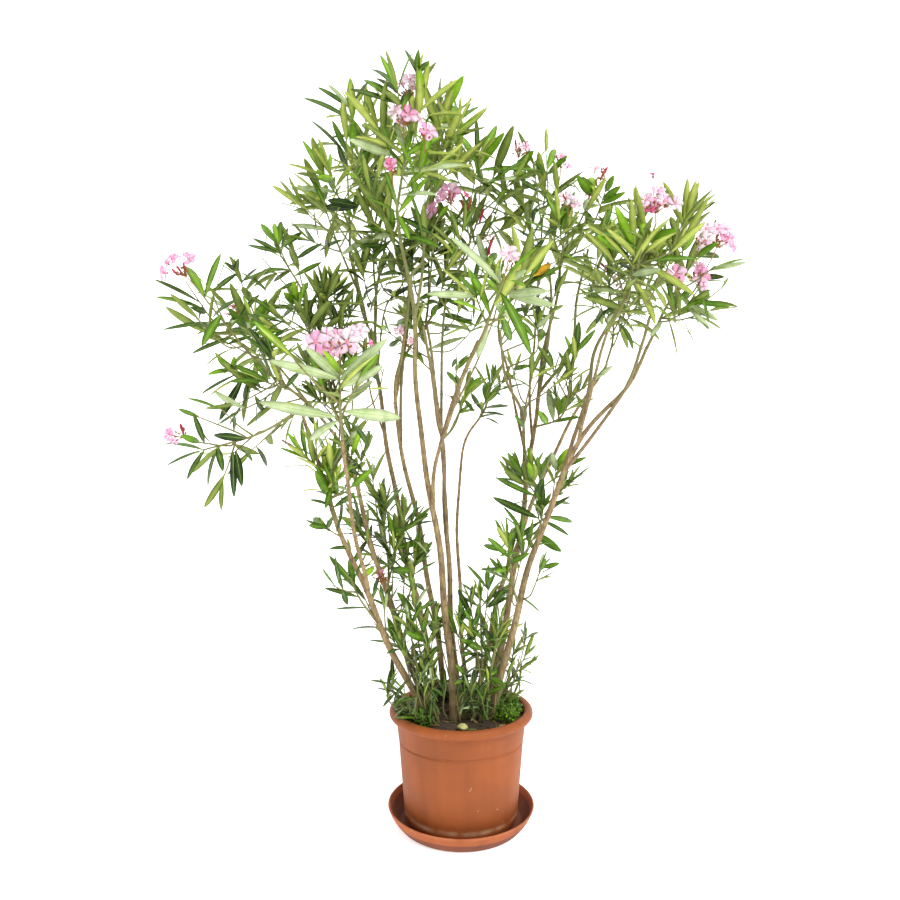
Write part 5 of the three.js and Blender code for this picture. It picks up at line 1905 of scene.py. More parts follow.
@dataclass
class SeenLeaves:
    """Places the photographed leaves on the twigs of their mass.

    A leaf grows from the twig point that is seen nearest its root, and its tip lies on the line of sight
    of the tip in the picture, as deep as its true length asks. It is rolled until it looks as wide as
    in the picture.
    """

    crown: Crown
    bed: BladeBed
    snap: float = 16.0
    slimmest: float = 0.13
    widest: float = 0.22
    bend: tuple[float, float] = (0.15, 0.5)
    count: int = 0

    def grow(self, mass: Mass, twigs: Sequence[Twig], dice: Dice) -> None:
        """Adds the photographed leaves of one mass.

        Args:
            mass: The mass.
            twigs: Its twigs.
            dice: Deals lengths, depths, bends and twists.
        """
        points = np.vstack([twig.path.at(np.linspace(0.12, 1, 60)) for twig in twigs])
        pixels = SIGHT.pixels(points)
        for u, v, tip_u, tip_v, width, tint in SEEN.get(mass.name, ()):
            far = np.linalg.norm(pixels - (u, v), axis=1)
            near = int(far.argmin())
            if far[near] <= self.snap:
                self._leaf(mass, points[near], (tip_u, tip_v), width, tint, dice)

    def _leaf(self, mass: Mass, root: Vec, tip: tuple[float, float], width: float, tint: int,
              dice: Dice) -> None:
        """Adds a leaf if it fits at some depth of its tip.

        Args:
            mass: Its mass.
            root: Where it grows from.
            tip: Its tip in picture pixels.
            width: Its width in picture pixels.
            tint: Its tint.
            dice: Deals its length, side, bend and twist.
        """
        flat = SIGHT.point(*tip, root[1]) - root
        shown = float(np.linalg.norm(flat))
        length = max(mass.leaf * dice(0.88, 1.08), shown)
        deep = min(math.sqrt(length**2 - shown**2), 0.75 * length)
        way = 1.0 if dice(0, 1) < 0.5 else -1.0
        bend = dice(*self.bend)
        for share in (way, -way, 0.5 * way, -0.5 * way, 0.0):
            end = SIGHT.point(*tip, root[1] + share * deep)
            spine = root + np.outer((0.35, 0.7, 1.0), end - root)
            if self.crown.room_for(mass, end) and self.crown.skeleton.clear(spine, 2.0):
                self._place(root, end, SIGHT.wide(width, root[1]), tint, bend, dice)
                return

    def _place(self, root: Vec, end: Vec, shown: float, tint: int, bend: float, dice: Dice) -> None:
        """Adds the leaf between two points, rolled until it shows the given width.

        Args:
            root: Where it grows from.
            end: Where its tip lies.
            shown: The width that it shows, in millimetres.
            tint: Its tint.
            bend: How far it bends, in radians.
            dice: Deals its twist.
        """
        chord = end - root
        length = float(np.linalg.norm(chord))
        chord = chord / length
        sight = unit(np.array([SIGHT.x, SIGHT.y, SIGHT.z]) - root)
        facing = unit(sight - chord * np.dot(sight, chord))
        side = np.cross(chord, facing)
        shown = min(shown, self.widest * length)
        wide = max(shown, self.slimmest * length)
        roll = math.acos(min(shown / wide, 1.0)) * (1.0 if side[2] > 0 else -1.0)
        upper = facing * math.cos(roll) + side * math.sin(roll)
        along = chord * math.cos(bend / 2) + upper * math.sin(bend / 2)
        normal = upper * math.cos(bend / 2) - chord * math.sin(bend / 2)
        full = length * (bend / 2) / math.sin(bend / 2)
        under = Tint.UNDER_LIT if tint >= Tint.FRESH else Tint.UNDER
        under = Tint.YELLOW if tint == Tint.YELLOW else under
        self.bed.add(root, along, normal, full, wide, bend, 0.0, dice(-0.25, 0.25), (tint, Tint.RIB, under))
        self.count += 1


@dataclass(frozen=True)
class Patch:
    """A patch of weeds: the ranges that its plants are dealt from.

    Fields: the turns round the pot in degrees; the distances from its middle; the greatest height; how
    many plants; the lengths of their leaves; their tints.
    """

    turns: tuple[float, float]
    distances: tuple[float, float]
    tall: float
    count: int
    leaf: tuple[float, float]
    tints: tuple[float, float]


@dataclass(frozen=True)
class Weeds:
    """Small weeds that grow from the soil near the rim."""

    patches: tuple[Patch, ...] = (
        Patch((180, 236), (118, 158), 44, 70, (12, 24), (0.0, 2.9)),
        Patch((-36, 44), (92, 146), 40, 230, (5, 13), (0.3, 3.7)),
        Patch((40, 130), (90, 142), 40, 100, (10, 20), (0.2, 2.9)),
        Patch((130, 186), (100, 142), 24, 40, (8, 16), (0.2, 2.9)),
    )
    rooted_within: float = 140
    short: float = 8
    stem_radii: tuple[float, ...] = (0.7, 0.6, 0.5)
    leaves: tuple[float, float] = (5, 10)
    lean: tuple[float, float] = (30, 88)
    width: tuple[float, float] = (0.26, 0.44)
    bend: tuple[float, float] = (0.2, 0.9)

    def build(self) -> bpy.types.Object:
        """Builds every plant into one mesh.

        Returns:
            The finished object.
        """
        dice = Dice(WEED_SEED)
        bed, weeds = BladeBed(WEED_OUTLINE), Shape()
        for patch in self.patches:
            for _ in range(patch.count):
                self._plant(patch, dice, bed, weeds)
        bed.into(weeds)
        return weeds.piece("rim_weeds", "foliage", [LEAF_FINISHES[tint].material() for tint in Tint])

    def _plant(self, patch: Patch, dice: Dice, bed: BladeBed, weeds: Shape) -> None:
        """Adds one plant: its stem to the shape and its leaves to the bed.

        Args:
            patch: The patch that it stands in.
            dice: Deals its place and sizes.
            bed: The bed of leaves.
            weeds: The shape with the stems.
        """
        up = np.array(UP)
        turn, radius = math.radians(dice(*patch.turns)), dice(*patch.distances)
        way = np.array([math.cos(turn), math.sin(turn), 0.0])
        foot = min(radius, self.rooted_within) * way + up * (SOIL_TOP - 2.0)
        top = radius * way + up * (SOIL_TOP + dice(self.short, patch.tall))
        weeds.add(*tube(np.array([foot, (foot + top) / 2, top]), np.array(self.stem_radii), 4), Tint.MID)
        for k in range(int(dice(*self.leaves))):
            along = leant(up, math.radians(dice(*self.lean)), k * GOLDEN_ANGLE)
            upper = unit(up - along * along[2])
            length, tint = dice(*patch.leaf), round(dice(*patch.tints))
            root = top - up * dice(0, 0.7) * (top[2] - foot[2])
            bed.add(root, along, upper, length, length * dice(*self.width), dice(*self.bend),
                    slots=(tint, tint, Tint.UNDER))


# The flowers seen in the photograph, by mass, for each of its flowering twigs. A row is the mouth of a
# flower, or the tip of a bud, in picture pixels; how wide it is, or a bud how long; which way it faces,
# right and down, as shares of one; and its colour.
PALE, PINK, HOT, WHITE, DRY, THROAT, CALYX, BUD, STALK = Petal
BLOOMS: dict[str, tuple[tuple[tuple, ...], ...]] = {
    "far_left": (
        ((172, 259, 15, -0.2, -0.5, PINK), (166, 263, 12, -0.6, -0.2, PALE), (164, 273, 15, -0.6, 0.2, PINK),
        (188, 259, 16, 0.2, -0.5, PINK), (171, 268, 9, -0.6, -0.7, BUD), (176, 265, 9, -0.5, -0.8, BUD),
        (183, 262, 8, -0.1, -0.9, BUD)),),
    "left_middle": (
        ((233, 305, 11, -0.1, -0.4, DRY), (240, 303, 9, 0.3, -0.4, DRY), (227, 304, 7, -0.7, -0.2, DRY),
        (226, 314, 8, -0.7, 0.2, DRY)),),
    "low_left": (
        ((169, 434, 15, -0.5, -0.2, PINK), (173, 440, 11, -0.2, 0.5, PINK), (180, 423, 12, -0.2, -0.95, BUD),
        (186, 431, 6, 0.3, -0.9, BUD)),),
    "left_low": (
        ((380, 577, 9, 0.0, -0.3, DRY), (385, 573, 7, 0.4, -0.6, BUD), (376, 572, 7, -0.4, -0.7, BUD),
        (382, 572, 6, 0.0, -0.9, HOT)),),
    "front": (
        ((316, 342, 24, -0.35, 0.1, PINK), (331, 349, 24, -0.1, 0.2, PINK), (327, 334, 17, -0.2, -0.4, WHITE),
        (347, 342, 26, 0.1, 0.0, PALE), (360, 331, 19, 0.3, -0.3, PALE), (338, 334, 14, 0.0, -0.5, PINK),
        (369, 343, 9, 0.85, -0.3, HOT)),),
    "upper_back": (
        (),),
    "top": (
        ((402, 84, 15, -0.4, -0.4, PALE), (410, 80, 16, 0.2, -0.4, PALE), (412, 87, 11, 0.4, -0.2, WHITE),
        (393, 90, 8, -0.8, -0.3, BUD)),
        ((395, 112, 17, -0.4, -0.3, PALE), (409, 115, 19, 0.2, -0.2, PINK), (402, 119, 14, -0.1, 0.1, PALE),
        (404, 104, 8, 0.0, -0.9, BUD), (420, 119, 10, 0.6, 0.1, WHITE)),
        ((428, 132, 20, 0.4, -0.3, PINK), (421, 129, 9, -0.3, -0.8, BUD)),
        ((391, 166, 16, -0.1, -0.2, HOT),)),
    "centre_crown": (
        ((442, 103, 9, 0.1, -0.3, DRY), (440, 97, 6, -0.1, -0.9, BUD)),),
    "centre_right": (
        (),
        ((450, 192, 23, -0.1, -0.3, PINK), (441, 197, 14, -0.5, -0.1, PINK), (431, 210, 18, -0.6, 0.0, PINK),
        (433, 199, 8, -0.2, -0.9, BUD), (465, 196, 9, 0.6, -0.5, HOT), (472, 196, 15, 0.3, -0.9, CALYX),
        (461, 199, 12, -0.3, -0.9, CALYX)),
        ((519, 147, 11, 0.0, -0.4, DRY), (526, 147, 11, 0.5, -0.2, PALE), (515, 139, 9, -0.2, -0.9, BUD),
        (528, 140, 9, 0.5, -0.8, BUD)),
        ((494, 235, 20, 0.35, -0.9, CALYX), (491, 241, 14, 0.2, -0.95, BUD), (484, 208, 15, 0.3, -0.9, BUD))),
    "near": (
        ((509, 253, 18, 0.0, -0.3, WHITE), (515, 256, 12, 0.5, 0.0, PALE)),),
    "centre_inner": (
        ((400, 331, 13, -0.2, -0.4, PALE), (411, 341, 9, 0.3, -0.2, PINK)),),
    "right_centre": (
        (),
        ((561, 156, 12, 0.1, -0.6, PINK), (568, 166, 10, 0.3, -0.5, PALE), (556, 155, 7, -0.4, -0.8, BUD))),
    "right_crown": (
        ((589, 195, 10, -0.1, -0.4, DRY),),
        ((566, 198, 16, -0.2, -0.3, WHITE), (575, 204, 13, 0.4, -0.1, WHITE), (563, 193, 8, -0.3, -0.9, BUD)),
        ((595, 169, 13, -0.1, -0.7, PALE), (608, 166, 13, 0.5, -0.85, BUD), (604, 172, 9, 0.4, -0.9, CALYX),
        (596, 178, 8, -0.2, -0.9, CALYX))),
    "right_rear": (
        ((606, 269, 10, -0.4, 0.1, DRY), (612, 277, 12, -0.2, 0.2, DRY), (619, 284, 10, 0.4, 0.2, DRY),
        (600, 262, 9, -0.7, -0.6, BUD)),
        ((637, 243, 8, 0.0, -0.5, DRY), (646, 237, 8, 0.5, -0.8, CALYX), (630, 243, 8, -0.5, -0.8, CALYX))),
    "right_flowering": (
        ((646, 200, 16, -0.3, -0.3, WHITE), (651, 207, 17, -0.1, 0.0, HOT), (641, 208, 11, -0.6, 0.1, PINK),
        (658, 191, 15, 0.0, -0.5, PALE), (664, 201, 17, 0.1, -0.2, PALE), (675, 204, 17, 0.3, -0.1, WHITE),
        (653, 175, 10, -0.1, -0.95, HOT)),),
    "far_right": (
        ((706, 229, 16, -0.3, -0.3, PALE), (705, 241, 18, -0.3, 0.1, PALE), (699, 221, 9, -0.3, -0.7, PINK),
        (702, 250, 11, -0.2, 0.3, PINK)),
        ((717, 229, 16, 0.0, -0.3, PALE), (725, 229, 14, 0.3, -0.4, PALE), (727, 239, 20, 0.4, -0.1, PINK),
        (724, 238, 10, 0.2, -0.2, HOT), (733, 246, 13, 0.6, 0.2, PINK), (716, 219, 9, 0.1, -0.9, CALYX),
        (719, 232, 8, 0.3, -0.8, CALYX)),
        ((701, 276, 19, 0.1, -0.1, PINK), (699, 266, 12, -0.1, -0.6, PINK), (704, 286, 12, 0.2, 0.3, PALE),
        (693, 271, 9, -0.4, -0.8, BUD)),
        ((676, 274, 20, 0.0, 0.0, PINK),)),
}


@dataclass
class Blossom:
    """Oleander flowers: a short funnel that opens into five broad petals, set round like a pinwheel.

    Sizes are those of a flower `across` wide, and each flower is scaled to the width in its row: the
    funnel's length and its radii, a petal's length and width. Then the stalk's radius, a bud's thickness
    as a share of its length, the calyx's length and radius, and the depths dealt from a twig's tip. A
    petal may take the paler colour, and opens by an angle in degrees from the ranges in `OPENING`.
    """

    petals: BladeBed
    shape: Shape
    stems: Shape
    funnel: float = 15.0
    funnel_radii: tuple[float, float] = (1.9, 4.6)
    petal: tuple[float, float] = (22.0, 22.0)
    across: float = 48.0
    stalk_radius: float = 0.9
    bud_thickness: float = 0.27
    calyx: tuple[float, float] = (5.0, 2.3)
    depth: tuple[float, float] = (-16.0, 6.0)
    mouths: list[Vec] = field(default_factory=list)
    radii: list[float] = field(default_factory=list)

    PALER = {PALE: WHITE, PINK: PALE, HOT: PINK, WHITE: PALE, DRY: DRY}
    OPENING = {DRY: (30, 110), HOT: (34, 60)}
    WIDE_OPEN = (60, 74)
    STALK_RINGS = 6

    def heads(self, mass: Mass, twigs: Sequence[Twig], dice: Dice) -> None:
        """Adds the flower heads of a mass, as BLOOMS lists them in the order of its flowering twigs.

        Args:
            mass: The mass.
            twigs: Its twigs.
            dice: Deals depths, turns and lengths.
        """
        flowering = [twig for twig in twigs if twig.flowering]
        for twig, rows in zip(flowering, BLOOMS.get(mass.name, ())):
            if rows:
                self._head(twig, rows, dice)

    def _head(self, twig: Twig, rows: Sequence[tuple], dice: Dice) -> None:
        """Adds one head.

        Args:
            twig: The twig that bears it.
            rows: Its flowers and buds. Twice as many bare calyces stand among them.
            dice: Deals depths, turns and lengths.
        """
        tip = twig.path.at(1.0)
        placed = []
        for u, v, size, lean_u, lean_v, colour in rows:
            mouth = SIGHT.point(u, v, tip[1] + dice(*self.depth))
            wide = SIGHT.wide(size, mouth[1])
            toward = math.sqrt(max(0.0, 1.0 - lean_u**2 - lean_v**2))
            placed.append((mouth, unit(np.array([lean_u, -toward, -lean_v])), wide, colour))
            self.mouths.append(mouth)
            self.radii.append(0.42 * size)
        middle = np.mean([mouth for mouth, *_ in placed], axis=0)
        fork = tip + (middle - tip) * 0.42
        start = tip - twig.path.heading(1.0) * 4
        self.stems.add(*tube(np.array([start, tip, fork]), np.array([1.9, 1.7, 1.2]), 7), STALK)
        for mouth, along, wide, colour in placed:
            if colour in (BUD, CALYX):
                self._bud(fork, mouth, along, wide, colour)
            else:
                self._open(fork, mouth, along, wide, colour, dice)
        outward = unit(middle - tip)
        for k in range(2 * len(placed)):
            way = leant(outward, dice(0.2, 1.15), k * GOLDEN_ANGLE)
            self._stalk(fork, fork + way * dice(12, 24), way)

    def _stalk(self, root: Vec, end: Vec, along: Vec) -> None:
        """Adds a stalk that comes to its end along a direction, and the calyx there.

        Args:
            root: Where it starts.
            end: Where it ends.
            along: The direction.
        """
        reach = float(np.linalg.norm(end - root))
        path = Path([root, end - along * reach * 0.4, end])
        shares = np.linspace(0, 1, self.STALK_RINGS)
        self.stems.add(*tube(path.at(shares), np.full(self.STALK_RINGS, self.stalk_radius), 5), STALK)
        length, radius = self.calyx
        centres = end + np.outer((-1.0, 1.5, length * 0.7, length), along)
        self.stems.add(*tube(centres, np.array([0.8, radius, radius, radius * 0.7]), 7), CALYX)

    def _open(self, root: Vec, mouth: Vec, along: Vec, wide: float, colour: Petal, dice: Dice) -> None:
        """Adds an open flower, a half open one, or a withered one that hangs.

        Args:
            root: Where its stalk starts.
            mouth: The middle of the funnel's mouth.
            along: The way that it faces.
            wide: Its width.
            colour: Its colour, which also says how far it opens.
            dice: Deals how its petals vary.
        """
        growth = wide / self.across
        base = mouth - along * self.funnel * growth
        self._stalk(root, base, along)
        low, high = self.funnel_radii
        faded = colour == DRY
        centres = base + np.outer((0.5, self.funnel * 0.5, self.funnel), along) * growth
        self.shape.add(*tube(centres, np.array([low, low * 1.3, high]) * growth, 10), colour)
        ends = mouth + np.outer((-1.0, 0.6), along)
        self.shape.add(*tube(ends, np.array([high * 0.9, high * 0.7]) * growth, 10), THROAT)
        turn = dice(0, FULL_TURN)
        length, width = self.petal
        for k in range(5):
            side = turned(square_to(along), along, turn + k * FULL_TURN / 5)
            open_angle = math.radians(dice(*self.OPENING.get(colour, self.WIDE_OPEN)))
            out = along * math.cos(open_angle) + side * math.sin(open_angle)
            upper = along * math.sin(open_angle) - side * math.cos(open_angle)
            tilted = turned(upper, out, 0.3)
            start = mouth + side * high * 0.6 * growth
            size = length * growth * dice(0.92, 1.08)
            bend = dice(0.9, 1.7) if faded else dice(0.25, 0.6)
            broad = width * growth * (0.55 if faded else 1.0)
            shade = colour if dice(0, 1) < 0.6 else self.PALER[colour]
            self.petals.add(start, out, tilted, size, broad, bend, 0.22, 0.35, (shade, shade, colour))
            if not faded:
                self.petals.add(mouth + side * 2.0 * growth, unit(along + side * 0.35),
                                unit(along * 0.35 - side), 6.0 * growth, 3.4 * growth, -0.4,
                                slots=(PINK, HOT, PINK))

    def _bud(self, root: Vec, tip: Vec, along: Vec, length: float, colour: Petal) -> None:
        """Adds a closed bud, a pointed spindle with a spiral fold, that ends at `tip`.

        Args:
            root: Where its stalk starts.
            tip: Its tip.
            along: The way that it points.
            length: Its length.
            colour: Its colour.
        """
        base = tip - along * length
        self._stalk(root, base, along)
        share = np.array([0.08, 0.3, 0.55, 0.75, 0.9, 0.99])
        thick = min(self.bud_thickness * length / 2, 4.2)
        profile = np.array([0.6, 0.8, 1.0, 0.85, 0.5, 0.1]) * thick
        fold = 1 + 0.14 * np.cos(np.arange(10) * FULL_TURN / 5 + 6 * share[:, None])
        centres = base + np.outer(share * length, along)
        points, faces = tube(centres, profile[:, None] * fold, 10)
        self.shape.add(points, faces, colour)


# The potted plant's pieces

@dataclass
class Shrub:
    """The stems and boughs in bark, and the crown that grows on from them."""

    low: Vec
    high: Vec
    bark: Bark = field(default_factory=Bark)

    # Stretches of stem that no leaf may hide, by shares of the length, kept clear for some pixels around
    IN_VIEW = (("centre_stem", 0.02, 0.55), ("left_outer_stem", 0.03, 0.5), ("right_outer_stem", 0.03, 0.6))
    IN_VIEW_POINTS = 28
    IN_VIEW_CLEARING = 6.0

    # The heights in metres between which the painted shade at a stem's foot fades
    PAINTED_SHADE_UNTIL = {
        "left_inner_stem": (0.37, 0.60),
        "back_left_stem": (0.33, 0.46),
        "back_centre_stem": (0.24, 0.40),
    }
    PLAIN_PAINTED_SHADE_UNTIL = (0.20, 0.27)
    NO_PAINTED_SHADE = (0.0, 0.01)

    def build(self) -> list[bpy.types.Object]:
        """Builds every piece of the plant.

        Returns:
            The finished objects.
        """
        skeleton = Skeleton(LIMBS)
        pieces = [*self._limbs(skeleton), self._forks(skeleton)]
        crown = Crown(skeleton, self.low, self.high)
        plan = list(enumerate((mass for masses in MASSES.values() for mass in masses), 1))
        grown = {mass.name: crown.mass_twigs(mass, seed) for seed, mass in plan}
        petals, twigs, corollas, stems = BladeBed(PETAL_OUTLINE), Shape(), Shape(), Shape()
        blossom = Blossom(petals, corollas, stems)
        leaf_materials = [LEAF_FINISHES[tint].material() for tint in Tint]
        petal_materials = [PETAL_FINISHES[petal].material() for petal in Petal]
        for seed, mass in plan:
            blossom.heads(mass, grown[mass.name], Dice(seed + HEAD_SEED))
        foliage = Foliage(crown, heads=blossom.mouths, clearings=blossom.radii)
        self._keep_in_view(skeleton, foliage)
        for part, masses in MASSES.items():
            bed, leaves = BladeBed(LEAF_OUTLINE), Shape()
            for seed, mass in plan:
                if mass not in masses:
                    continue
                dice, seen = Dice(seed + LEAF_SEED), SeenLeaves(crown, bed)
                seen.grow(mass, grown[mass.name], dice)
                foliage.seen += seen.count
                for twig in grown[mass.name]:
                    self._twig(twig, twigs)
                    foliage.dress(twig, mass, dice, bed)
            bed.into(leaves)
            names = [mass.solid for mass in masses]
            pieces.append(leaves.piece(f"{part.value}_foliage", "foliage", leaf_materials, names))
        LOG.info("%d leaves grown, %d refused, %d seen", foliage.count, foliage.refused, foliage.seen)
        petals.into(corollas)
        finish = BarkFinish("twig_bark", srgb(116, 108, 66), srgb(140, 140, 84), srgb(126, 146, 74),
                            srgb(88, 74, 54), self.NO_PAINTED_SHADE, (1.2, 1.6))
        every, flowering = [mass.solid for _, mass in plan], [solid_of(name) for name in BLOOMS]
        pieces.append(twigs.piece("leafy_twigs", "bark", [finish.material()], every, mark="scar"))
        pieces.append(corollas.piece("open_flowers", "blossom", petal_materials, flowering))
        pieces.append(stems.piece("flower_stalks", "blossom", petal_materials, flowering))
        return pieces

    def _keep_in_view(self, skeleton: Skeleton, foliage: Foliage) -> None:
        """Tells the foliage which stretches of stem it may not hide.

        Args:
            skeleton: The limbs' lines.
            foliage: The foliage.
        """
        for name, low, high in self.IN_VIEW:
            foliage.heads += list(skeleton.paths[name].at(np.linspace(low, high, self.IN_VIEW_POINTS)))
            foliage.clearings += [self.IN_VIEW_CLEARING] * self.IN_VIEW_POINTS

    def _limbs(self, skeleton: Skeleton) -> list[bpy.types.Object]:
        """Builds one bark mesh for each limb.

        Args:
            skeleton: The limbs' lines.

        Returns:
            The finished objects.
        """
        pieces = []
        for k, limb in enumerate(LIMBS):
            shape = Shape()
            points, faces, marks = self.bark.limb(limb, skeleton.paths[limb.name], 1.3 * k)
            shape.add(points, faces, 0, marks)
            # Painted shade at each stem's foot: its heights, and srgb(30, 25, 20), which also darkens specks
            # and scars.
            dark = self.PAINTED_SHADE_UNTIL.get(limb.name, self.PLAIN_PAINTED_SHADE_UNTIL)
            finish = BarkFinish(f"{limb.name}_finish", srgb(102, 80, 52), srgb(172, 148, 104),
                                srgb(122, 128, 72), srgb(30, 25, 20), dark, (1.0, 1.35))
            pieces.append(shape.piece(f"{limb.name}_bark", "bark", [finish.material()], [limb.name], "scar"))
        return pieces

    def _forks(self, skeleton: Skeleton) -> bpy.types.Object:
        """Builds the thin bare branches that join the masses to the limbs.

        Args:
            skeleton: The limbs' lines.

        Returns:
            The finished object.
        """
        shape = Shape()
        thin = Bark(sides=10, wander=1.2)
        for k, fork in enumerate(FORKS):
            root = skeleton.paths[fork.limb].at(fork.at)
            path = Path([root, *(SIGHT.point(*pixel) for pixel in fork.through)])
            shares = np.linspace(0, 1, max(8, int(path.length / 8)))
            radius = fork.radii[0] + (fork.radii[1] - fork.radii[0]) * shares
            shape.add(*thin.tube(path, radius, shares, 0.9 * k)[:2])
        finish = BarkFinish("thin_bark", srgb(106, 84, 58), srgb(154, 132, 98), srgb(124, 132, 76),
                            srgb(60, 48, 36), self.NO_PAINTED_SHADE, (0.95, 1.3))
        return shape.piece("thin_branches", "bark", [finish.material()], (), "scar")

    @staticmethod
    def _twig(twig: Twig, shape: Shape) -> None:
        """Adds a twig's tapering tube.

        Args:
            twig: The twig.
            shape: The shape that it is added to.
        """
        shares = np.linspace(0, 1, max(5, int(twig.path.length / 12)))
        radius = twig.thick + (twig.thin - twig.thick) * shares
        shape.add(*tube(twig.path.at(shares), radius, 8))


@dataclass(frozen=True)
class Pot:
    """The nursery pot: a tapering wall with a groove and a collar under a rolled rim.

    Sizes are those of the solid: radii and heights of the foot, the wall, the groove and the roll.
    """

    foot: tuple[float, float] = (124.0, 4.3)
    wall_low: tuple[float, float] = (138.0, 24.0)
    rise: float = 0.081
    wall: float = 4.0
    floor: float = 5.0
    groove: float = 207.0
    roll: tuple[float, float, float] = (165.0, 270.0, 11.0)
    sides: int = 160

    def radius(self, height: float) -> float:
        """The wall's outer radius at a height."""
        return self.wall_low[0] + (height - self.wall_low[1]) * self.rise

    def profile(self) -> Vec:
        """The pot's section from the axis under the floor, up outside, over the roll and down inside.

        Returns:
            Rows of radius and height.
        """
        radius, foot = self.foot
        centre, height, roll = self.roll
        groove = self.groove
        outside = rounded([
            (0, foot, 0), (radius, foot, 1.5), (radius + 9, foot + 4, 4), (*self.wall_low, 7),
            (self.radius(groove - 4), groove - 4, 1), (self.radius(groove) - 2, groove - 2, 1),
            (self.radius(groove) - 2, groove + 2, 1), (self.radius(groove) + 1, groove + 4, 1.2),
            (self.radius(height) + 1, height - 14, 3), (centre - 1.2, height - roll * 0.98, 1),
        ])
        turns = np.radians(np.linspace(-84, 196, 26))
        bead = np.stack([centre + roll * np.cos(turns), height + roll * np.sin(turns)], axis=1)
        inside = rounded([
            (self.radius(height) - self.wall, height - roll, 0),
            (self.wall_low[0] - self.wall, self.wall_low[1], 6),
            (radius, foot + self.floor, 4), (0, foot + self.floor, 0),
        ])
        return np.vstack([outside[:-1], bead, inside])

    def build(self) -> bpy.types.Object:
        """Builds the pot.

        Returns:
            The finished object.
        """
        shape = Shape()
        shape.add(*lathe(self.profile(), self.sides))
        # The pot is darker below 0.022 m; its pale line at 0.036 m is limescale.
        finish = PlasticFinish("pot_plastic", srgb(159, 82, 33), srgb(126, 67, 33), srgb(216, 184, 148),
                               srgb(76, 42, 28), 0.036, 0.022)
        return shape.piece("pot_wall", "terracotta", [finish.material()], ["pot"])


POT = Pot()


@dataclass(frozen=True)
class Saucer:
    """The saucer: a shallow flared dish with a thin lip."""

    foot: float = 146.0
    waist: float = 169.0
    rim: float = 179.0
    height: float = 46.0
    thickness: float = 4.0
    wall: float = 3.5
    sides: int = 160

    def profile(self) -> Vec:
        """The saucer's section from the axis below, up outside, over the lip and in along its floor.

        Returns:
            Rows of radius and height.
        """
        inner = self.foot - self.wall
        return rounded([
            (0, 0, 0), (self.foot, 0, 2), (self.foot + 6, 3, 3), (self.waist, self.height / 2, 70),
            (self.rim, self.height - 1.5, 1.2), (self.rim - 1.5, self.height, 1),
            (self.rim - self.wall, self.height, 1), (self.waist - self.wall, self.height / 2, 70),
            (inner + 6, self.thickness + 1.5, 4), (inner, self.thickness, 2), (0, self.thickness, 0),
        ])

    def build(self) -> bpy.types.Object:
        """Builds the saucer.

        Returns:
            The finished object.
        """
        shape = Shape()
        shape.add(*lathe(self.profile(), self.sides))
        # srgb(190, 122, 84) at 0.0455 m is a painted highlight along the saucer's lip, and its pale flecks.
        finish = PlasticFinish("saucer_plastic", srgb(174, 96, 54), srgb(142, 76, 44), srgb(190, 122, 84),
                               # The outside's foot, up to 0.024 m, is lightened with painted light against
                               # the shade under the wall.
                               srgb(90, 44, 28), 0.0455, inner_radius=0.170, roughness=0.75, painted_light_height=0.024)
        return shape.piece("saucer_dish", "saucer", [finish.material()], ["saucer"])


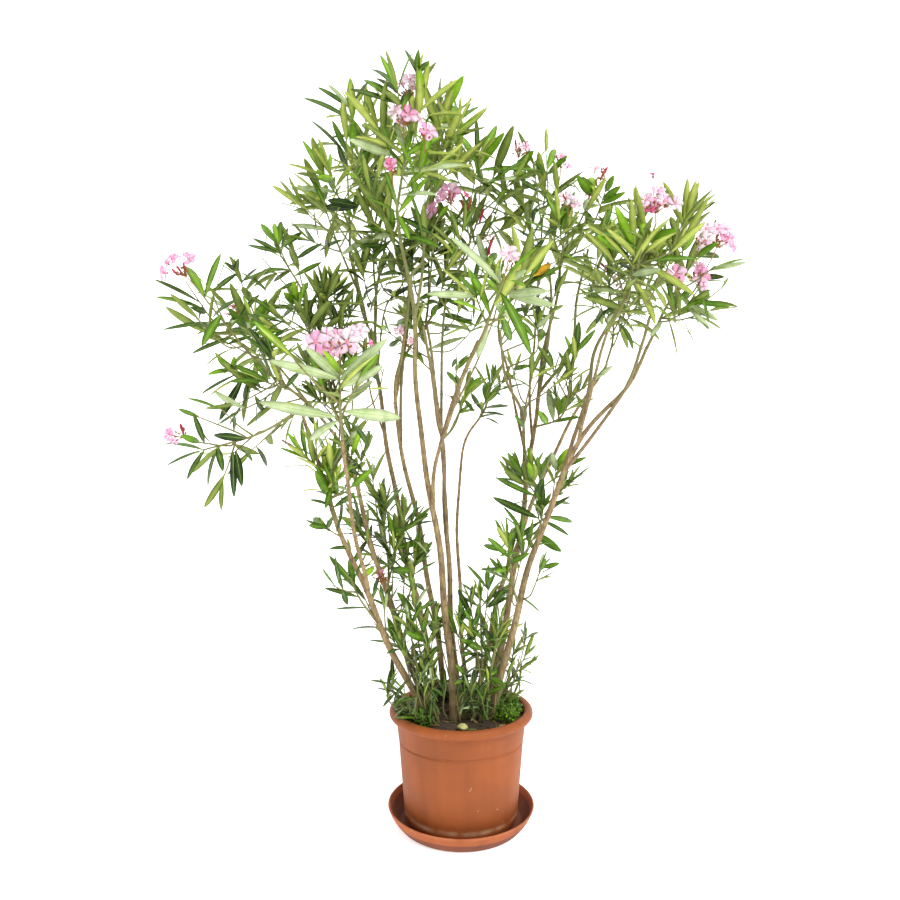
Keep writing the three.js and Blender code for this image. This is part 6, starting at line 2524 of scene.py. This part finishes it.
@dataclass(frozen=True)
class Soil:
    """The soil: a plug in the pot with an uneven top, and dry leaf litter on it.

    The top's height is the plan's plus a sum of sines of x and y that fades out at the edge.
    """

    top: float = SOIL_TOP
    flat: float = 142.0
    edge_drop: float = 4.0
    bottom: float = 9.6
    rings: int = 70
    sides: int = 150
    relief: float = 1.7
    chips: int = 240

    SHADES = (("litter_brown", (122, 88, 52), (84, 58, 36)), ("litter_straw", (176, 146, 92), (136, 104, 62)),
              ("litter_dark", (70, 50, 36), (50, 36, 28)), ("litter_green", (120, 132, 60), (88, 98, 46)))

    def heights(self, x: Vec, y: Vec) -> Vec:
        """The unevenness at a place, in millimetres.

        Args:
            x: The places across.
            y: The places in depth.

        Returns:
            How far the soil stands above its level at each.
        """
        slow = np.sin(x / 17 + 1.3 * np.sin(y / 23)) * np.cos(y / 14)
        lumps = 0.6 * np.sin(x / 5.1) * np.sin(y / 6.3 + 1)
        fine = 0.45 * np.sin(x / 2.3 + y / 3.1) * np.sin(y / 2.7 - x / 4.3)
        return self.relief * ((slow + lumps) * 0.6 + fine)

    def build(self) -> list[bpy.types.Object]:
        """Builds the soil and its litter.

        Returns:
            The finished objects.
        """
        rim = POT.radius(self.top - self.edge_drop) - POT.wall - 0.6
        out = np.linspace(self.flat, 0.5, self.rings)
        profile = np.vstack([
            [[0, self.bottom], [122, self.bottom], [POT.wall_low[0] - POT.wall - 0.6, 26.0]],
            [[rim, self.top - self.edge_drop]],
            np.stack([out, np.full(self.rings, self.top)], axis=1),
            [[0, self.top]],
        ])
        points, faces = lathe(profile, self.sides)
        radius = np.hypot(points[:, 0], points[:, 1])
        on_top = (points[:, 2] > self.top - 1) & (radius < self.flat + 1)
        fade = np.clip((self.flat + 2 - radius) / 12, 0, 1)
        points[:, 2] += np.where(on_top, self.heights(points[:, 0], points[:, 1]) * fade - 0.6 * fade, 0)
        shape = Shape()
        shape.add(points, faces)
        bed = shape.piece("soil_bed", "soil", [SoilFinish().material()], ["soil"])
        return [bed, self._litter()]

    def _litter(self) -> bpy.types.Object:
        """Scatters dry leaf pieces over the soil.

        Returns:
            The finished object.
        """
        bed = BladeBed(LEAF_OUTLINE)
        dice = Dice(LITTER_SEED)
        for _ in range(self.chips):
            radius, turn = self.flat * math.sqrt(dice(0.02, 0.96)), dice(0, FULL_TURN)
            x, y = radius * math.cos(turn), radius * math.sin(turn)
            z = self.top + float(self.heights(np.float64(x), np.float64(y))) + dice(0.6, 2.2)
            heading = dice(0, FULL_TURN)
            along = unit(np.array([math.cos(heading), math.sin(heading), dice(-0.12, 0.12)]))
            upper = unit(np.cross(along, np.cross(UP, along)))
            length = dice(6, 30)
            tint = int(dice(0, 3.3))
            bed.add(np.array([x, y, z]) - along * length / 2, along, upper, length, length * dice(0.14, 0.3),
                    dice(-0.5, 0.5), dice(-0.1, 0.1), dice(-0.5, 0.5), (tint, tint, tint))
        shape = Shape()
        bed.into(shape)
        materials = [LeafFinish(name, srgb(*main), srgb(*deep), 0.8).material()
                     for name, main, deep in self.SHADES]
        return shape.piece("soil_litter", "foliage", materials)


@dataclass(frozen=True)
class Pebble:
    """The one pale angular stone at the front of the soil, a sphere pushed in by flat planes."""

    place: tuple[float, float, float] = (2.0, -112.0, 270.3)
    size: tuple[float, float, float] = (13.0, 10.0, 8.0)
    rings: int = 24
    sides: int = 36

    def build(self) -> bpy.types.Object:
        """Builds the stone.

        Returns:
            The finished object.
        """
        turns = np.linspace(-math.pi / 2, math.pi / 2, self.rings)
        profile = np.stack([np.cos(turns), np.sin(turns)], axis=1)
        points, faces = lathe(profile, self.sides)
        planes = unit(np.array([[1, 0.3, 0.5], [-0.8, 0.5, 0.6], [0.1, -1, 0.5], [-0.5, -0.6, -0.4],
                                [0.6, -0.5, 0.9], [0.2, 0.9, 0.2]]))
        for plane in planes:
            over = np.maximum(points @ plane - 0.82, 0)
            points = points - over[:, None] * plane
        shape = Shape()
        shape.add(points * self.size + self.place, faces)
        finish = StoneFinish("pebble_stone", srgb(196, 190, 122), srgb(150, 142, 92))
        return shape.piece("pale_pebble", "pebble", [finish.material()], ["pebble"])


@dataclass(frozen=True)
class Studio:
    """A pale floor that curves up into a wall, a soft key light from the upper right, and a white world.

    Lengths are in metres, the key's softness, tilt and turn in degrees.
    """

    half: float = 9.0
    back: float = 5.0
    tall: float = 7.0
    bend: float = 2.0
    world: float = 0.8
    sun: float = 2.2
    sun_softness: float = 26.0
    sun_tilt: float = 42.0
    sun_turn: float = 34.0
    floor_glow: float = 0.58

    def floor(self) -> None:
        """Builds the floor and wall as one smooth sheet, level with the saucer's foot."""
        turn = np.linspace(0, math.pi / 2, 24)
        y = np.concatenate([[-self.half], self.back + self.bend * np.sin(turn), [self.back + self.bend]])
        z = np.concatenate([[0.0], self.bend - self.bend * np.cos(turn), [self.tall]])
        x = np.array([-self.half, self.half])
        points = np.stack([np.tile(x, len(y)), np.repeat(y, 2), np.repeat(z, 2)], axis=1)
        first = np.arange(len(y) - 1)[:, None] * 2
        faces = np.vstack([first + np.array([0, 1, 3]), first + np.array([0, 3, 2])])
        mesh = bpy.data.meshes.new("studio_floor")
        mesh.from_pydata(points.tolist(), [], faces.tolist())
        mesh.polygons.foreach_set("use_smooth", np.full(len(faces), True))
        paint = Paint("studio_paper")
        grain = paint.noise(paint.place(), 3.0, 2.0)
        tone = paint.mix(grain, srgb(250, 250, 250), srgb(253, 253, 252))
        mesh.materials.append(paint.surface(
            Base_Color=tone, Roughness=0.95, Specular_IOR_Level=0.1, Emission_Color=(1.0, 1.0, 1.0),
            Emission_Strength=self.floor_glow,
        ))
        floor = bpy.data.objects.new("studio_floor", mesh)
        bpy.context.scene.collection.objects.link(floor)

    def lights(self) -> None:
        """Lights the scene."""
        world = bpy.data.worlds.new("studio_light")
        world.use_nodes = True
        background = world.node_tree.nodes["Background"]
        background.inputs["Color"].default_value = (1, 1, 1, 1)
        background.inputs["Strength"].default_value = self.world
        bpy.context.scene.world = world
        data = bpy.data.lights.new("soft_key", "SUN")
        data.energy = self.sun
        data.angle = math.radians(self.sun_softness)
        key = bpy.data.objects.new("soft_key", data)
        key.rotation_euler = (math.radians(self.sun_tilt), 0, math.radians(self.sun_turn))
        bpy.context.scene.collection.objects.link(key)


def write_sizes() -> None:
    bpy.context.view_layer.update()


def main() -> None:
    """Builds the potted oleander and its studio."""
    logging.basicConfig(level=logging.INFO, format="%(message)s")
    low, high = (np.array(corner) / MM for corner in CAD_BOX)
    SIGHT.camera()
    builders: list[Callable[[], Any]] = [
        Studio().floor, Studio().lights, POT.build, Saucer().build, Soil().build, Pebble().build,
        Weeds().build, Shrub(low, high).build,
    ]
    for build in builders:
        build()
    bpy.context.scene.view_settings.view_transform = "Standard"
    write_sizes()


if __name__ == "__main__":
    main()
